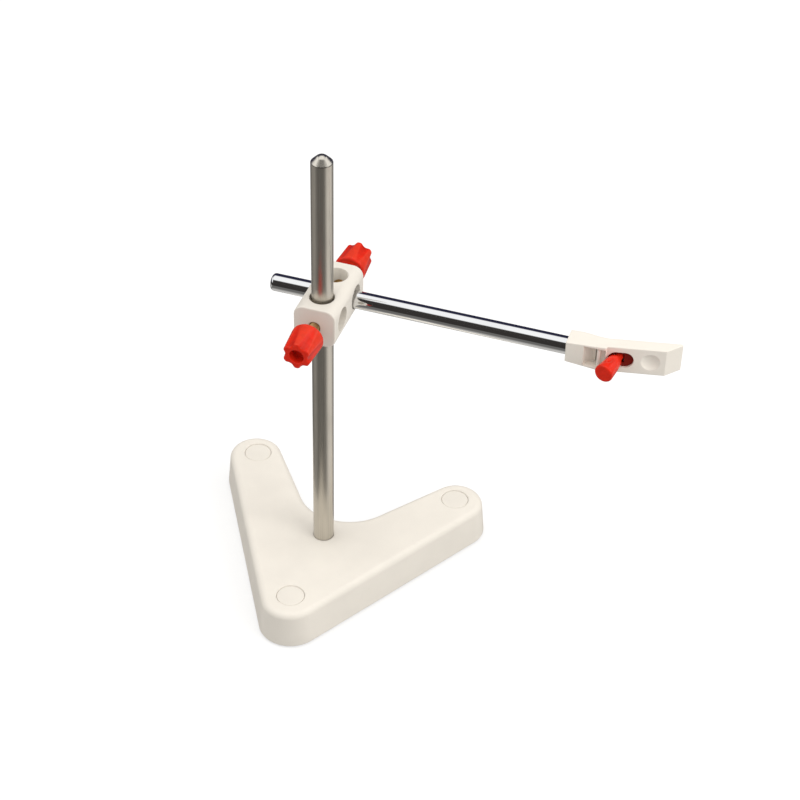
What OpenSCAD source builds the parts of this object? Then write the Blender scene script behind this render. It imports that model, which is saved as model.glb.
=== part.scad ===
// Retort stand: weighted V base, upright, boss head with two screw knobs, cross arm and
// a quick-release holder with a lever. Millimetres, +Z up.
// The origin lies on the bench, under the axis of the upright. The front corner points to -Y,
// the legs open towards +Y and the cross arm runs along X.

/* [Base] */
// Distance from the front plug to each leg's plug
leg_span = 128; // [116:1:150]
// Angle between the two legs
leg_angle = 60; // [54:1:62]
// Distance of the upright behind the front plug
upright_setback = 55; // [50:1:57]
// Radius of the front corner at the foot
front_r = 18.8; // [18:0.1:20]
// Radius of each leg's end at the foot
leg_end_r = 17.5; // [17:0.1:18.6]
// Angle by which a leg's inner side closes in towards its end
leg_taper = 7; // [5:0.5:9]
// Radius of the crotch between the legs at the foot
crotch_r = 29; // [26:0.5:34]
// Height of the base above the bench
base_h = 24; // [22:0.5:34]
// Draft of the base's outer walls in degrees
draft = 5; // [1:0.5:8]
// Rounding of the base's top edge
top_edge_r = 4; // [1:0.25:5]
// Wall of the moulded shell at its thinnest
shell_wall = 3; // [2:0.1:4.5]
// Thickness of the shell's top
shell_top = 4; // [3:0.1:5]
// Room between the ballast and the shell's top
head_room = 4; // [3:0.1:6]
// Thickness of the anti-slip pad
pad_t = 2; // [1.5:0.1:3]
// Height of the pad below the shell's rim
pad_proud = 1; // [0.5:0.1:1.4]
// Diameter of the plugs over the shell screws
plug_d = 16; // [13:0.1:18]
// Thickness of a plug's cap
plug_t = 1.4; // [1:0.1:2]
// Depth of a plug's top below the base's top
plug_sunk = 0.3; // [0.1:0.05:0.6]
// Diameter of the shell screws
shell_screw_d = 4; // [3:0.5:5]

/* [Upright] */
// Diameter of the upright
upright_d = 12; // [10:0.5:14]
// Height of the upright's tip above the bench
upright_top = 288; // [260:1:400]
// Height of its domed tip
tip_h = 3.7; // [2:0.1:5]
// Diameter of the threaded stub under the upright
stub_d = 8; // [6:0.5:9]
// Height of the nut under the ballast
nut_t = 5; // [4:0.1:6]
// Width of that nut across its flats
nut_af = 13; // [12:0.5:16]
// Thickness of the washer on that nut
washer_t = 1.6; // [1:0.1:2.2]
// Diameter of the washer
washer_d = 18; // [16:0.5:20]

/* [Boss head] */
// Height of the boss head's centre above the bench
boss_z = 186.7; // [120:0.1:230]
// Width and height of the boss head
boss_w = 24; // [21:0.5:30]
// Corner radius of the boss head's section
boss_corner_r = 6; // [2:0.25:7]
// Distance between its two stations
station_gap = 21.7; // [20:0.1:30]
// Distance from a station to the nearer end face
boss_end = 12.2; // [11:0.1:16]
// Play of the upright in its hole
rod_play = 1.6; // [0.8:0.1:2.2]

/* [Clamp screws] */
// Diameter of the clamp screws
screw_d = 6; // [5:0.5:6.5]
// Length of a clamp screw outside its knob
screw_reach = 16; // [14:0.5:24]
// Depth of a clamp screw inside its knob
screw_grip = 8.5; // [6:0.5:9.5]
// Outside diameter of the brass bushes
bush_d = 8; // [7.6:0.1:9]
// Diameter of a knob at its rim
knob_d = 17.4; // [15:0.2:20]
// Diameter of a knob at its outer end
knob_end_d = 15; // [14:0.2:18]
// Length of a knob
knob_len = 18.5; // [18:0.5:24]
// Number of flutes round a knob
knob_flutes = 6; // [4:1:8]
// Radius of a flute
flute_r = 3; // [1.8:0.1:3.2]
// Depth of a flute at the knob's outer end
flute_depth = 1.5; // [0.8:0.1:1.8]
// Length of a flute from the knob's outer end
flute_len = 14; // [10:0.5:15]
// Diameter of the recess in a knob's end
knob_recess_d = 8.2; // [5:0.1:8.4]
// Depth of that recess
knob_recess = 6; // [3:0.5:7]

/* [Cross arm] */
// Diameter of the cross arm
arm_d = 10; // [8:0.5:11]
// Distance from the upright's axis to the arm's free end
arm_tail = 37.5; // [30:0.5:60]
// Distance from the upright's axis to the holder's neck
arm_reach = 132.4; // [100:0.1:200]
// Depth of the arm in the neck
arm_grip = 6.2; // [6:0.1:9]

/* [Holder] */
// Height of the neck at the arm
neck_h = 12.8; // [12.4:0.1:15]
// Thickness of the neck at the arm
neck_t = 12; // [11.8:0.1:13]
// Length of the neck block up to the plate
neck_len = 22.6; // [22:0.1:26]
// Height of the plate
plate_h = 16.6; // [16:0.1:20]
// Thickness of the plate
plate_t = 7.8; // [7.6:0.1:8.4]
// Length of the plate's front face
plate_len = 31.4; // [30:0.1:40]
// Angle by which the plate bends back
plate_bend = 12; // [6:0.5:14]
// Radius of the round seat in the neck block
seat_r = 5.9; // [5.4:0.1:6.2]
// Height of the seat
seat_h = 12.2; // [11:0.1:12.4]
// Length of the lever's slot
slot_len = 14.1; // [13.6:0.1:15]
// Height of the lever's slot
slot_h = 9.7; // [9.4:0.1:11]
// Diameter of the thumb dimple
dimple_d = 10.2; // [8:0.1:12]
// Depth of the thumb dimple
dimple_depth = 1.9; // [1:0.1:2.2]
// Distance from the plate's left end to the dimple's centre
dimple_at = 23.3; // [23:0.1:25.6]
// Thickness of the rear cover
cover_t = 1.2; // [1:0.1:1.5]

/* [Lever] */
// Distance from the plate's left end to the lever's pivot
pivot_at = 7.3; // [7:0.1:7.8]
// Length of the lever from its pivot
lever_len = 20; // [17:0.1:26]
// Diameter of the lever at its outer end
lever_end_d = 10.4; // [8:0.1:12]
// Diameter of the lever where it meets the slot
lever_root_d = 7.4; // [6:0.1:7.6]
// Lean of the lever at rest in degrees, and as far again the other way
lever_lean = 25.5; // [18:0.5:25.5]
// Diameter of the lever's pivot pin
pin_d = 2; // [1.6:0.1:2.2]
// Thickness of the slider behind the slot
slider_t = 1.2; // [1:0.1:1.3]
// Thickness of the jaw on the slider
jaw_t = 1.8; // [1.6:0.1:2.6]
// Wire of the jaw's spring
spring_wire = 0.45; // [0.3:0.05:0.5]
// Outside diameter of the jaw's spring
spring_d = 3.2; // [2.6:0.1:3.2]
// Number of turns of the jaw's spring
spring_turns = 4; // [3:0.5:4]

/* [Hidden] */
$fn = 64;

// Clearances: a running fit, a loose gap, the gap left where a rod is clamped, and the overlap of cuts
run_gap = 0.05;
loose_gap = 0.3;
seat_gap = 0.05;
over = 1;

// Width of a small ledge, and the share of a screw's size that its socket takes
ledge = 1;
socket_share = 0.7;

// Colours
cream = [0.94, 0.92, 0.87];
shade_cream = [0.90, 0.88, 0.83];
red = [0.88, 0.12, 0.08];
brass = [0.79, 0.62, 0.30];
satin_steel = [0.66, 0.65, 0.63];
chrome = [0.80, 0.81, 0.83];
zinc = [0.62, 0.63, 0.65];
iron = [0.25, 0.25, 0.26];
rubber = [0.12, 0.12, 0.12];

// Base: places of the plugs, and the rule of its outline
half_angle = leg_angle / 2;
inner_angle = half_angle + leg_taper;
front_at = [0, -upright_setback];
leg_dir = [sin(half_angle), cos(half_angle)];
leg_out = [cos(half_angle), -sin(half_angle)];
inner_dir = [-cos(inner_angle), sin(inner_angle)];
right_at = front_at + leg_span * leg_dir;
left_at = [-right_at.x, right_at.y];
plug_places = [front_at, left_at, right_at];
end_centre = right_at + (front_r - leg_end_r) * leg_out;
crotch_y = (leg_end_r + crotch_r + end_centre * inner_dir) / sin(inner_angle);
corner_steps = 20;
end_steps = 28;
edge_steps = 5;

// Points of an arc, from one angle to another
function arc(centre, r, from, to, steps) =
    [for (i = [0:steps]) let (a = from + (to - from) * i / steps) centre + r * [cos(a), sin(a)]];

// The base's outline drawn in by an inset: three outward corners and the crotch
function v_outline(inset) = concat(
    arc(front_at, front_r - inset, half_angle - 180, -half_angle, corner_steps),
    arc(end_centre, leg_end_r - inset, -half_angle, 180 - inner_angle, end_steps),
    arc([0, crotch_y], crotch_r + inset, -inner_angle, inner_angle - 180, corner_steps),
    arc([-end_centre.x, end_centre.y], leg_end_r - inset, inner_angle, 180 + half_angle, end_steps));

// Levels of the shell: the drafted wall, then the rounded edge, each as [inset, height]
edge_foot_z = base_h - top_edge_r + top_edge_r * sin(draft);
edge_inset = (edge_foot_z - pad_proud) * tan(draft) + top_edge_r * cos(draft);
shell_levels = concat([[0, pad_proud]],
    [for (i = [0:edge_steps]) let (a = draft + (90 - draft) * i / edge_steps)
        [edge_inset - top_edge_r * cos(a), base_h - top_edge_r + top_edge_r * sin(a)]]);

// Base: heights inside it
ceiling_z = base_h - shell_top;
ballast_top = ceiling_z - head_room;
cavity_inset = shell_wall + (ceiling_z - pad_proud) * tan(draft);
ballast_inset = cavity_inset + loose_gap;
pillar_r = plug_d / 2 - ledge;
ring_r = upright_d / 2 + shell_wall + ledge;
plug_floor = base_h - plug_sunk - plug_t;
shell_head_r = shell_screw_d;
shell_head_floor = ballast_top + head_room / 2;
shell_head_h = plug_floor - ledge - loose_gap - shell_head_floor;
shell_screw_tip = ballast_top - 2 * shell_screw_d;
plug_stem_r = shell_head_r + loose_gap;

// Upright: the nut and washer in the ballast's pocket
nut_pocket_r = washer_d / 2 + ledge;
nut_pocket_top = pad_t + nut_t + washer_t + ledge;
washer_z = nut_pocket_top - washer_t;
nut_z = washer_z - nut_t;
upright_r = upright_d / 2;
tip_r = (pow(upright_r, 2) + pow(tip_h, 2)) / (2 * tip_h);

// Boss head: the upright bears on the rear of its hole, and the arm lies in the bottom of its own
rod_hole_d = upright_d + rod_play;
front_station = -((rod_hole_d - upright_d) / 2 - seat_gap);
rear_station = front_station + station_gap;
boss_front = front_station - boss_end;
boss_rear = rear_station + boss_end;
arm_r = arm_d / 2;
arm_y = rear_station;
arm_z = boss_z - (rod_hole_d - arm_d) / 2 + seat_gap;
front_tip = -upright_r - seat_gap;
rear_tip = arm_y + arm_r + seat_gap;
bush_hole_r = screw_d / 2 + loose_gap;
bush_skin = 1.2;
bush_len = boss_end - rod_hole_d / 2 - bush_skin - loose_gap;

// Holder: the neck starts at arm_reach. The plate has its own directions: s along it from its left
// end, d into it from its front face
arm_end = arm_reach + arm_grip;
plate_x = arm_reach + neck_len;
seat_lip = arm_y - neck_t / 2;
plate_step = 1.5;
step_w = 0.6;
plate_y = seat_lip + plate_step;
end_slant = 1.3;
end_flat = 1.2;
seat_x = plate_x - seat_r - step_w;
seat_s = -(seat_r + step_w) * cos(plate_bend) - plate_step * sin(plate_bend);
seat_d = (seat_r + step_w) * sin(plate_bend) - plate_step * cos(plate_bend);
front_wall = 1.7;
seat_edge_s = seat_s + sqrt(pow(seat_r, 2) - pow(front_wall - seat_d, 2));
cavity_d1 = plate_t - cover_t;
cavity_h = seat_h;

// Lever: its hub turns midway between the slider and the cover, and its handle starts at the slot
slider_gap = 0.1;
slider_d0 = front_wall + slider_gap;
slider_d1 = slider_d0 + slider_t;
slider_mid = (slider_d0 + slider_d1) / 2;
hub_gap = 0.2;
hub_h = 8.8;
hub_r = (cavity_d1 - slider_d1) / 2 - hub_gap;
pivot_d = (cavity_d1 + slider_d1) / 2;
lever_neck_r = 2.4;
lever_foot = pivot_d + ledge;
lever_neck_len = lever_foot + ledge / 2;
lever_edge_r = 1.2;
pin_low = -plate_h / 2 + loose_gap;
pin_high = cavity_h / 2 + ledge;

// Jaw: the slider's window follows the lever's neck, and the jaw opens up to the seat's far edge
jaw_travel = 2 * (pivot_d - slider_mid) * tan(lever_lean);
jaw_s1 = seat_edge_s - jaw_travel - slider_gap;
jaw_s0 = jaw_s1 - jaw_t;
jaw_tail_s = seat_edge_s + ledge / 2;
jaw_h = seat_h - 2 * loose_gap;
jaw_d0 = loose_gap;
jaw_d1 = slider_d1 + 2 * ledge;
window_gap = 0.16;
window_s = pivot_at - jaw_travel / 2;
window_w = 2 * (lever_neck_r / cos(lever_lean) + slider_t / 2 * tan(lever_lean) + window_gap);
window_h = 2 * lever_neck_r + 2 * loose_gap;
slider_s1 = pivot_at + slot_len / 2 + loose_gap;
slider_h = cavity_h - 2 * loose_gap;
tab_t = 1.2;
tab_h = 5;

// Spring: between the slider's tab and the end of the holder's hollow
spring_room = 4.8;
cavity_s0 = jaw_s0 - loose_gap;
cavity_s1 = slider_s1 + spring_room;
spring_s0 = slider_s1 + run_gap + spring_wire / 2;
spring_s1 = cavity_s1 - run_gap - spring_wire / 2;
spring_r = (spring_d - spring_wire) / 2;
spring_sides = 6;
spring_rings = 10;

// Cover and screws of the holder
cover_lap = 0.8;
cover_tail = 5;
cover_s0 = cavity_s0 - cover_lap;
cover_s1 = cavity_s1 + cover_tail;
cover_h = cavity_h + 2 * cover_lap;
cover_screw_d = 2;
cover_screw_len = 4.4;
cover_screw_s = cavity_s1 + cover_tail / 2;
cover_screw_z = cover_h / 2 - cover_screw_d - loose_gap;
cover_head_d = 3.8;
cover_head_t = 0.8;
grub_d = 3;
grub_x = arm_reach + arm_grip / 2;

// The holder's outline seen from above: the neck, the bent plate with its slanted end, and the back
plate_dir = [cos(plate_bend), sin(plate_bend)];
plate_in = [-sin(plate_bend), cos(plate_bend)];
plate_at = [plate_x, plate_y];
back_at = plate_at + plate_t * plate_in;
plate_end = plate_len + (plate_t - end_flat) * end_slant;
holder_plan = [[arm_reach, seat_lip], [plate_x - step_w, seat_lip], plate_at,
    plate_at + plate_len * plate_dir,
    back_at + plate_end * plate_dir - end_flat * plate_in, back_at + plate_end * plate_dir,
    back_at + (cover_s0 - ledge) * plate_dir, [arm_end + ledge, arm_y + neck_t / 2],
    [arm_reach, arm_y + neck_t / 2]];

// The holder's outline seen from the front: the neck grows into the plate
holder_far = plate_x + 2 * plate_len;
holder_side = [[arm_reach, -neck_h / 2], [plate_x + ledge, -plate_h / 2], [holder_far, -plate_h / 2],
    [holder_far, plate_h / 2], [plate_x + ledge, plate_h / 2], [arm_reach, neck_h / 2]];

// A square with round corners, from plain rectangles and circles
module round_square(w, h, r) {
    square([w - 2 * r, h], center = true);
    square([w, h - 2 * r], center = true);
    for (sx = [-1, 1], sy = [-1, 1])
        translate([sx * (w / 2 - r), sy * (h / 2 - r)])
            circle(r);
}

// The faces that close a loft's end: a strip from the front corner to the crotch, and two legs
function v_cap(first) = let (
    front = [for (i = [0:corner_steps]) first + i],
    right = [for (i = [1:end_steps + 1]) first + corner_steps + i],
    crotch = [for (i = [1:corner_steps + 1]) first + corner_steps + end_steps + 1 + i],
    left = [for (i = [1:end_steps + 1]) first + 2 * corner_steps + end_steps + 2 + i])
    concat([concat([front[corner_steps]], right, [crotch[0]])],
        [concat([crotch[corner_steps]], left, [front[0]])],
        [for (i = [0:corner_steps - 1])
            [front[i], front[i + 1], crotch[corner_steps - i - 1], crotch[corner_steps - i]]]);

// A list turned round
function turned(list) = [for (i = [len(list) - 1:-1:0]) list[i]];

// A body lofted through the base's outline at each level
module v_loft(levels) {
    rings = [for (l = levels) v_outline(l[0])];
    n = len(rings[0]);
    m = len(levels);
    points = [for (j = [0:m - 1]) for (p = rings[j]) [p.x, p.y, levels[j][1]]];
    sides = [for (j = [0:m - 2]) for (i = [0:n - 1]) let (k = (i + 1) % n)
        each [[j * n + i, (j + 1) * n + i, (j + 1) * n + k], [j * n + i, (j + 1) * n + k, j * n + k]]];
    lid = [for (face = v_cap((m - 1) * n)) turned(face)];
    polyhedron(points, concat(sides, v_cap(0), lid));
}

// A slab of the base's outline
module v_slab(inset, z0, z1) {
    translate([0, 0, z0])
        linear_extrude(z1 - z0)
            polygon(v_outline(inset));
}

// The moulded cover of the base, open underneath, with a pillar under each plug
module base_shell() {
    color(cream)
    difference() {
        v_loft(shell_levels);
        difference() {
            v_slab(cavity_inset, pad_proud - over, ceiling_z);
            for (p = plug_places)
                translate([p.x, p.y, ballast_top])
                    cylinder(r = pillar_r, h = head_room + over);
            translate([0, 0, ballast_top])
                cylinder(r = ring_r, h = head_room + over);
        }
        translate([0, 0, ballast_top - over])
            cylinder(r = upright_r + loose_gap, h = base_h);
        for (p = plug_places)
            translate([p.x, p.y, 0]) {
                translate([0, 0, plug_floor])
                    cylinder(d = plug_d + 2 * run_gap, h = base_h);
                translate([0, 0, shell_head_floor])
                    cylinder(r = plug_stem_r + run_gap, h = base_h);
                translate([0, 0, ballast_top - over])
                    cylinder(d = shell_screw_d + 2 * loose_gap, h = base_h);
            }
    }
}

// The cast plate that weights the base, tapped for the shell screws, with a pocket for the nut
module ballast_plate() {
    color(iron)
    difference() {
        v_slab(ballast_inset, pad_t, ballast_top);
        cylinder(d = stub_d + 2 * run_gap, h = base_h);
        translate([0, 0, pad_t - over])
            cylinder(r = nut_pocket_r, h = nut_pocket_top - pad_t + over);
        for (p = plug_places)
            translate([p.x, p.y, shell_screw_tip - over])
                cylinder(d = shell_screw_d + 2 * run_gap, h = base_h);
    }
}

// The rubber sheet that the stand rests on
module anti_slip_pad() {
    color(rubber)
        v_slab(ballast_inset, 0, pad_t);
}

// The three screws that hold the shell to the ballast
module shell_screws() {
    color(zinc)
    for (p = plug_places)
        translate([p.x, p.y, 0])
            difference() {
                union() {
                    translate([0, 0, shell_screw_tip])
                        cylinder(d = shell_screw_d, h = shell_head_floor - shell_screw_tip + over / 2);
                    translate([0, 0, shell_head_floor])
                        cylinder(r = shell_head_r, h = shell_head_h);
                }
                translate([0, 0, shell_head_floor + shell_head_h / 2])
                    cylinder(d = shell_screw_d * socket_share, h = shell_head_h, $fn = 6);
            }
}

// A cover plug: a round cap with a short stem over the screw's head
module plug(at) {
    color(shade_cream)
    translate([at.x, at.y, plug_floor]) {
        cylinder(d = plug_d, h = plug_t);
        translate([0, 0, -ledge])
            cylinder(r = plug_stem_r, h = ledge + plug_t / 2);
    }
}
module plug_front() {
    plug(front_at);
}
module plug_left() {
    plug(left_at);
}
module plug_right() {
    plug(right_at);
}

// The upright: a round bar with a domed tip, shouldered on the ballast
module upright_rod() {
    color(satin_steel)
        rotate_extrude()
            polygon(concat([[0, nut_z], [stub_d / 2, nut_z], [stub_d / 2, ballast_top],
                [upright_r, ballast_top]],
                arc([0, upright_top - tip_r], tip_r, asin(1 - tip_h / tip_r), 90, 2 * edge_steps)));
}

// The washer and nut on the upright's stub
module upright_washer() {
    color(zinc)
    translate([0, 0, washer_z])
        difference() {
            cylinder(d = washer_d, h = washer_t);
            translate([0, 0, -over])
                cylinder(d = stub_d + 2 * run_gap, h = washer_t + 2 * over);
        }
}
module upright_nut() {
    color(zinc)
    translate([0, 0, nut_z])
        difference() {
            cylinder(d = nut_af / cos(30), h = nut_t, $fn = 6);
            translate([0, 0, -over])
                cylinder(d = stub_d + 2 * run_gap, h = nut_t + 2 * over);
        }
}

// The boss head: a bar with two stations, each with an upright and a level hole
module boss_block() {
    color(cream)
    difference() {
        translate([0, boss_front, boss_z])
            rotate([-90, 0, 0])
                linear_extrude(boss_rear - boss_front)
                    round_square(boss_w, boss_w, boss_corner_r);
        for (y = [front_station, rear_station])
            translate([0, y, boss_z]) {
                cylinder(d = rod_hole_d, h = 2 * boss_w, center = true);
                rotate([0, 90, 0])
                    cylinder(d = rod_hole_d, h = 2 * boss_w, center = true);
            }
        for (end = [[boss_front, -1], [boss_rear, 1]])
            along_clamp(end[0], end[1]) {
                translate([0, 0, -boss_end])
                    cylinder(d = bush_d, h = boss_end - bush_skin);
                translate([0, 0, -boss_end])
                    cylinder(r = bush_hole_r, h = boss_end + over);
            }
    }
}

// A clamp's pieces lie along a line that points out of the boss head
module along_clamp(y, outward) {
    translate([0, y, boss_z])
        rotate([outward < 0 ? 90 : -90, 0, 0])
            children();
}

// A brass bush behind the boss head's end face, pressed in from the rod hole
module bush(y, outward) {
    color(brass)
    along_clamp(y, outward)
        translate([0, 0, -bush_skin - bush_len])
            difference() {
                cylinder(d = bush_d, h = bush_len);
                translate([0, 0, -over])
                    cylinder(d = screw_d + 2 * run_gap, h = bush_len + 2 * over);
            }
}
module front_bush() {
    bush(boss_front, -1);
}
module rear_bush() {
    bush(boss_rear, 1);
}

// A clamp screw with a turned-down tip
module clamp_screw(tip, outward) {
    tip_len = 1.2;
    color(brass)
    along_clamp(tip, outward) {
        cylinder(d1 = screw_d - 2 * tip_len, d2 = screw_d, h = tip_len);
        translate([0, 0, tip_len])
            cylinder(d = screw_d, h = screw_reach + screw_grip - tip_len);
    }
}
module front_screw() {
    clamp_screw(front_tip, -1);
}
module rear_screw() {
    clamp_screw(rear_tip, 1);
}

// A tapered knob: round at its rim, with flutes that run out before it
module knob(tip, outward) {
    rim_h = 2.4;
    edge = 0.9;
    rim_r = knob_d / 2;
    end_r = knob_end_d / 2;
    flute_axis = end_r + flute_r - flute_depth;
    flute_lean = atan((rim_r + flute_r - flute_axis) / flute_len);
    color(red)
    along_clamp(tip, outward)
    translate([0, 0, screw_reach])
        difference() {
            rotate_extrude()
                polygon([[0, 0], [rim_r - edge, 0], [rim_r, edge], [rim_r, rim_h],
                    [end_r, knob_len - edge], [end_r - edge, knob_len], [0, knob_len]]);
            for (i = [0:knob_flutes - 1])
                rotate([0, 0, i * 360 / knob_flutes])
                    translate([flute_axis, 0, knob_len])
                        rotate([0, 180 - flute_lean, 0])
                            cylinder(r = flute_r, h = 4 * flute_len, center = true);
            translate([0, 0, knob_len - knob_recess])
                cylinder(d = knob_recess_d, h = knob_recess + over);
            translate([0, 0, -over])
                cylinder(d = screw_d + 2 * run_gap, h = screw_grip + over + loose_gap);
        }
}
module front_knob() {
    knob(front_tip, -1);
}
module rear_knob() {
    knob(rear_tip, 1);
}

// The cross arm: a round bar with softened ends
module cross_arm() {
    tail_r = 2;
    end_r = 1.2;
    color(chrome)
    translate([-arm_tail, arm_y, arm_z])
        rotate([0, 90, 0])
            rotate_extrude()
                polygon(concat([[0, 0]],
                    arc([arm_r - tail_r, tail_r], tail_r, -90, 0, 6),
                    arc([arm_r - end_r, arm_tail + arm_end - end_r], end_r, 0, 90, 6),
                    [[0, arm_tail + arm_end]]));
}

// Places a piece in the plate's own directions: along it, into it and up
module on_plate(s = 0, d = 0, z = 0) {
    translate([plate_x, plate_y, arm_z])
        rotate([0, 0, plate_bend])
            translate([s, d, z])
                children();
}

// A block in the plate's directions, between two corners
module plate_box(s0, s1, d0, d1, h) {
    on_plate(s0, d0, -h / 2)
        cube([s1 - s0, d1 - d0, h]);
}

// The holder: a moulded neck with a round seat, and a plate with a slot and a thumb dimple
module holder_body() {
    dimple_r = (pow(dimple_d / 2, 2) + pow(dimple_depth, 2)) / (2 * dimple_depth);
    color(cream)
    difference() {
        intersection() {
            translate([0, 0, arm_z - plate_h])
                linear_extrude(2 * plate_h)
                    polygon(holder_plan);
            translate([0, arm_y + 2 * plate_len, arm_z])
                rotate([90, 0, 0])
                    linear_extrude(4 * plate_len)
                        polygon(holder_side);
        }
        translate([arm_reach - over, arm_y, arm_z])
            rotate([0, 90, 0])
                cylinder(r = arm_r + run_gap, h = arm_grip + over + loose_gap);
        translate([seat_x, seat_lip, arm_z - seat_h / 2])
            cylinder(r = seat_r, h = seat_h);
        plate_box(cavity_s0, cavity_s1, front_wall, plate_t + over, cavity_h);
        plate_box(cover_s0, cover_s1, cavity_d1, plate_t + over, cover_h);
        on_plate(pivot_at, front_wall + over / 2, 0)
            rotate([90, 0, 0])
                linear_extrude(front_wall + over) {
                    square([slot_len - slot_h, slot_h], center = true);
                    for (side = [-1, 1])
                        translate([side * (slot_len - slot_h) / 2, 0])
                            circle(d = slot_h);
                }
        on_plate(dimple_at, dimple_depth - dimple_r, 0)
            sphere(r = dimple_r);
        on_plate(pivot_at, pivot_d, -plate_h)
            cylinder(d = pin_d, h = plate_h + pin_high);
        for (side = [-1, 1])
            on_plate(cover_screw_s, cavity_d1 + over, side * cover_screw_z)
                rotate([90, 0, 0])
                    cylinder(d = cover_screw_d, h = cover_screw_len - cover_t + over);
        translate([grub_x, arm_y, arm_z])
            rotate([-90, 0, 0])
                cylinder(d = grub_d + 2 * run_gap, h = neck_t);
    }
}

// The cover over the lever's works, let into the plate's back
module holder_cover() {
    color(cream)
    difference() {
        plate_box(cover_s0 + run_gap, cover_s1 - run_gap, cavity_d1, plate_t, cover_h - 2 * run_gap);
        for (side = [-1, 1])
            on_plate(cover_screw_s, plate_t + over, side * cover_screw_z)
                rotate([90, 0, 0])
                    cylinder(d = cover_screw_d + 2 * run_gap, h = cover_t + 2 * over);
    }
}

// The two screws of that cover
module cover_screws() {
    color(zinc)
    for (side = [-1, 1])
        on_plate(cover_screw_s, plate_t, side * cover_screw_z)
            rotate([90, 0, 0]) {
                cylinder(d = cover_screw_d, h = cover_screw_len);
                translate([0, 0, -cover_head_t])
                    cylinder(d = cover_head_d, h = cover_head_t);
            }
}

// The screw that holds the neck on the arm, sunk in the neck's back
module neck_grub_screw() {
    color(zinc)
    translate([grub_x, arm_y + arm_r + run_gap, arm_z])
        rotate([-90, 0, 0])
            cylinder(d = grub_d, h = neck_t / 2 - arm_r - run_gap);
}

// The slider behind the slot, with a window for the lever and a tab for the spring
module jaw_slider() {
    color(red) {
        difference() {
            plate_box(jaw_tail_s, slider_s1 + ledge, slider_d0, slider_d1, slider_h);
            plate_box(window_s - window_w / 2, window_s + window_w / 2, slider_d0 - over, slider_d1 + over,
                window_h);
        }
        plate_box(slider_s1 - tab_t, slider_s1, slider_mid, cavity_d1 - loose_gap, tab_h);
    }
}

// The jaw that faces the round seat, with a tail that meets the slider's end
module jaw_pad() {
    color(cream) {
        plate_box(jaw_s0, jaw_s1, jaw_d0, jaw_d1, jaw_h);
        plate_box(jaw_s1 - over / 2, jaw_tail_s, slider_d0, slider_d1, slider_h);
    }
}

// The spring that closes the jaw: one wire wound round an axis along the plate
function spring_point(turn) = let (a = 360 * turn)
    [spring_s0 + (spring_s1 - spring_s0) * turn / spring_turns, spring_r * cos(a), spring_r * sin(a)];
function spring_ring(turn) = let (a = 360 * turn, c = spring_point(turn))
    [for (i = [0:spring_sides - 1]) let (b = 360 * i / spring_sides)
        c + spring_wire / 2 * [sin(b), cos(b) * cos(a), cos(b) * sin(a)]];
module jaw_spring() {
    steps = spring_turns * spring_rings;
    points = [for (j = [0:steps]) each spring_ring(j / spring_rings)];
    n = spring_sides;
    sides = [for (j = [0:steps - 1]) for (i = [0:n - 1]) let (k = (i + 1) % n)
        each [[j * n + i, j * n + k, (j + 1) * n + k], [j * n + i, (j + 1) * n + k, (j + 1) * n + i]]];
    color(zinc)
    on_plate(0, pivot_d, 0)
        polyhedron(points,
            concat(sides, [[for (i = [n - 1:-1:0]) i]], [[for (i = [0:n - 1]) steps * n + i]]));
}

// The lever: a hub on the pin, a neck through the slider and a handle that widens outwards
module clamp_lever() {
    end_r = lever_end_d / 2;
    root_r = lever_root_d / 2;
    shoulder_r = (2 * root_r + end_r) / 3;
    color(red)
    on_plate(pivot_at, pivot_d, 0)
        rotate([0, 0, -lever_lean])
            difference() {
                union() {
                    cylinder(r = hub_r, h = hub_h, center = true);
                    rotate([90, 0, 0]) {
                        cylinder(r = lever_neck_r, h = lever_neck_len);
                        rotate_extrude()
                            polygon(concat([[0, lever_foot], [root_r, lever_foot],
                                [shoulder_r, lever_foot + 2 * ledge]],
                                arc([end_r - lever_edge_r, lever_len - lever_edge_r], lever_edge_r, 0, 90, 6),
                                [[0, lever_len]]));
                    }
                }
                cylinder(d = pin_d + 2 * run_gap, h = 2 * hub_h, center = true);
            }
}

// The pin that the lever turns on, pressed in from below
module lever_pin() {
    color(zinc)
    on_plate(pivot_at, pivot_d, pin_low)
        cylinder(d = pin_d, h = pin_high - pin_low);
}

base_shell();
ballast_plate();
anti_slip_pad();
shell_screws();
plug_front();
plug_left();
plug_right();
upright_rod();
upright_washer();
upright_nut();
boss_block();
front_bush();
rear_bush();
front_screw();
rear_screw();
front_knob();
rear_knob();
cross_arm();
holder_body();
holder_cover();
cover_screws();
neck_grub_screw();
jaw_slider();
jaw_pad();
jaw_spring();
clamp_lever();
lever_pin();
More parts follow.
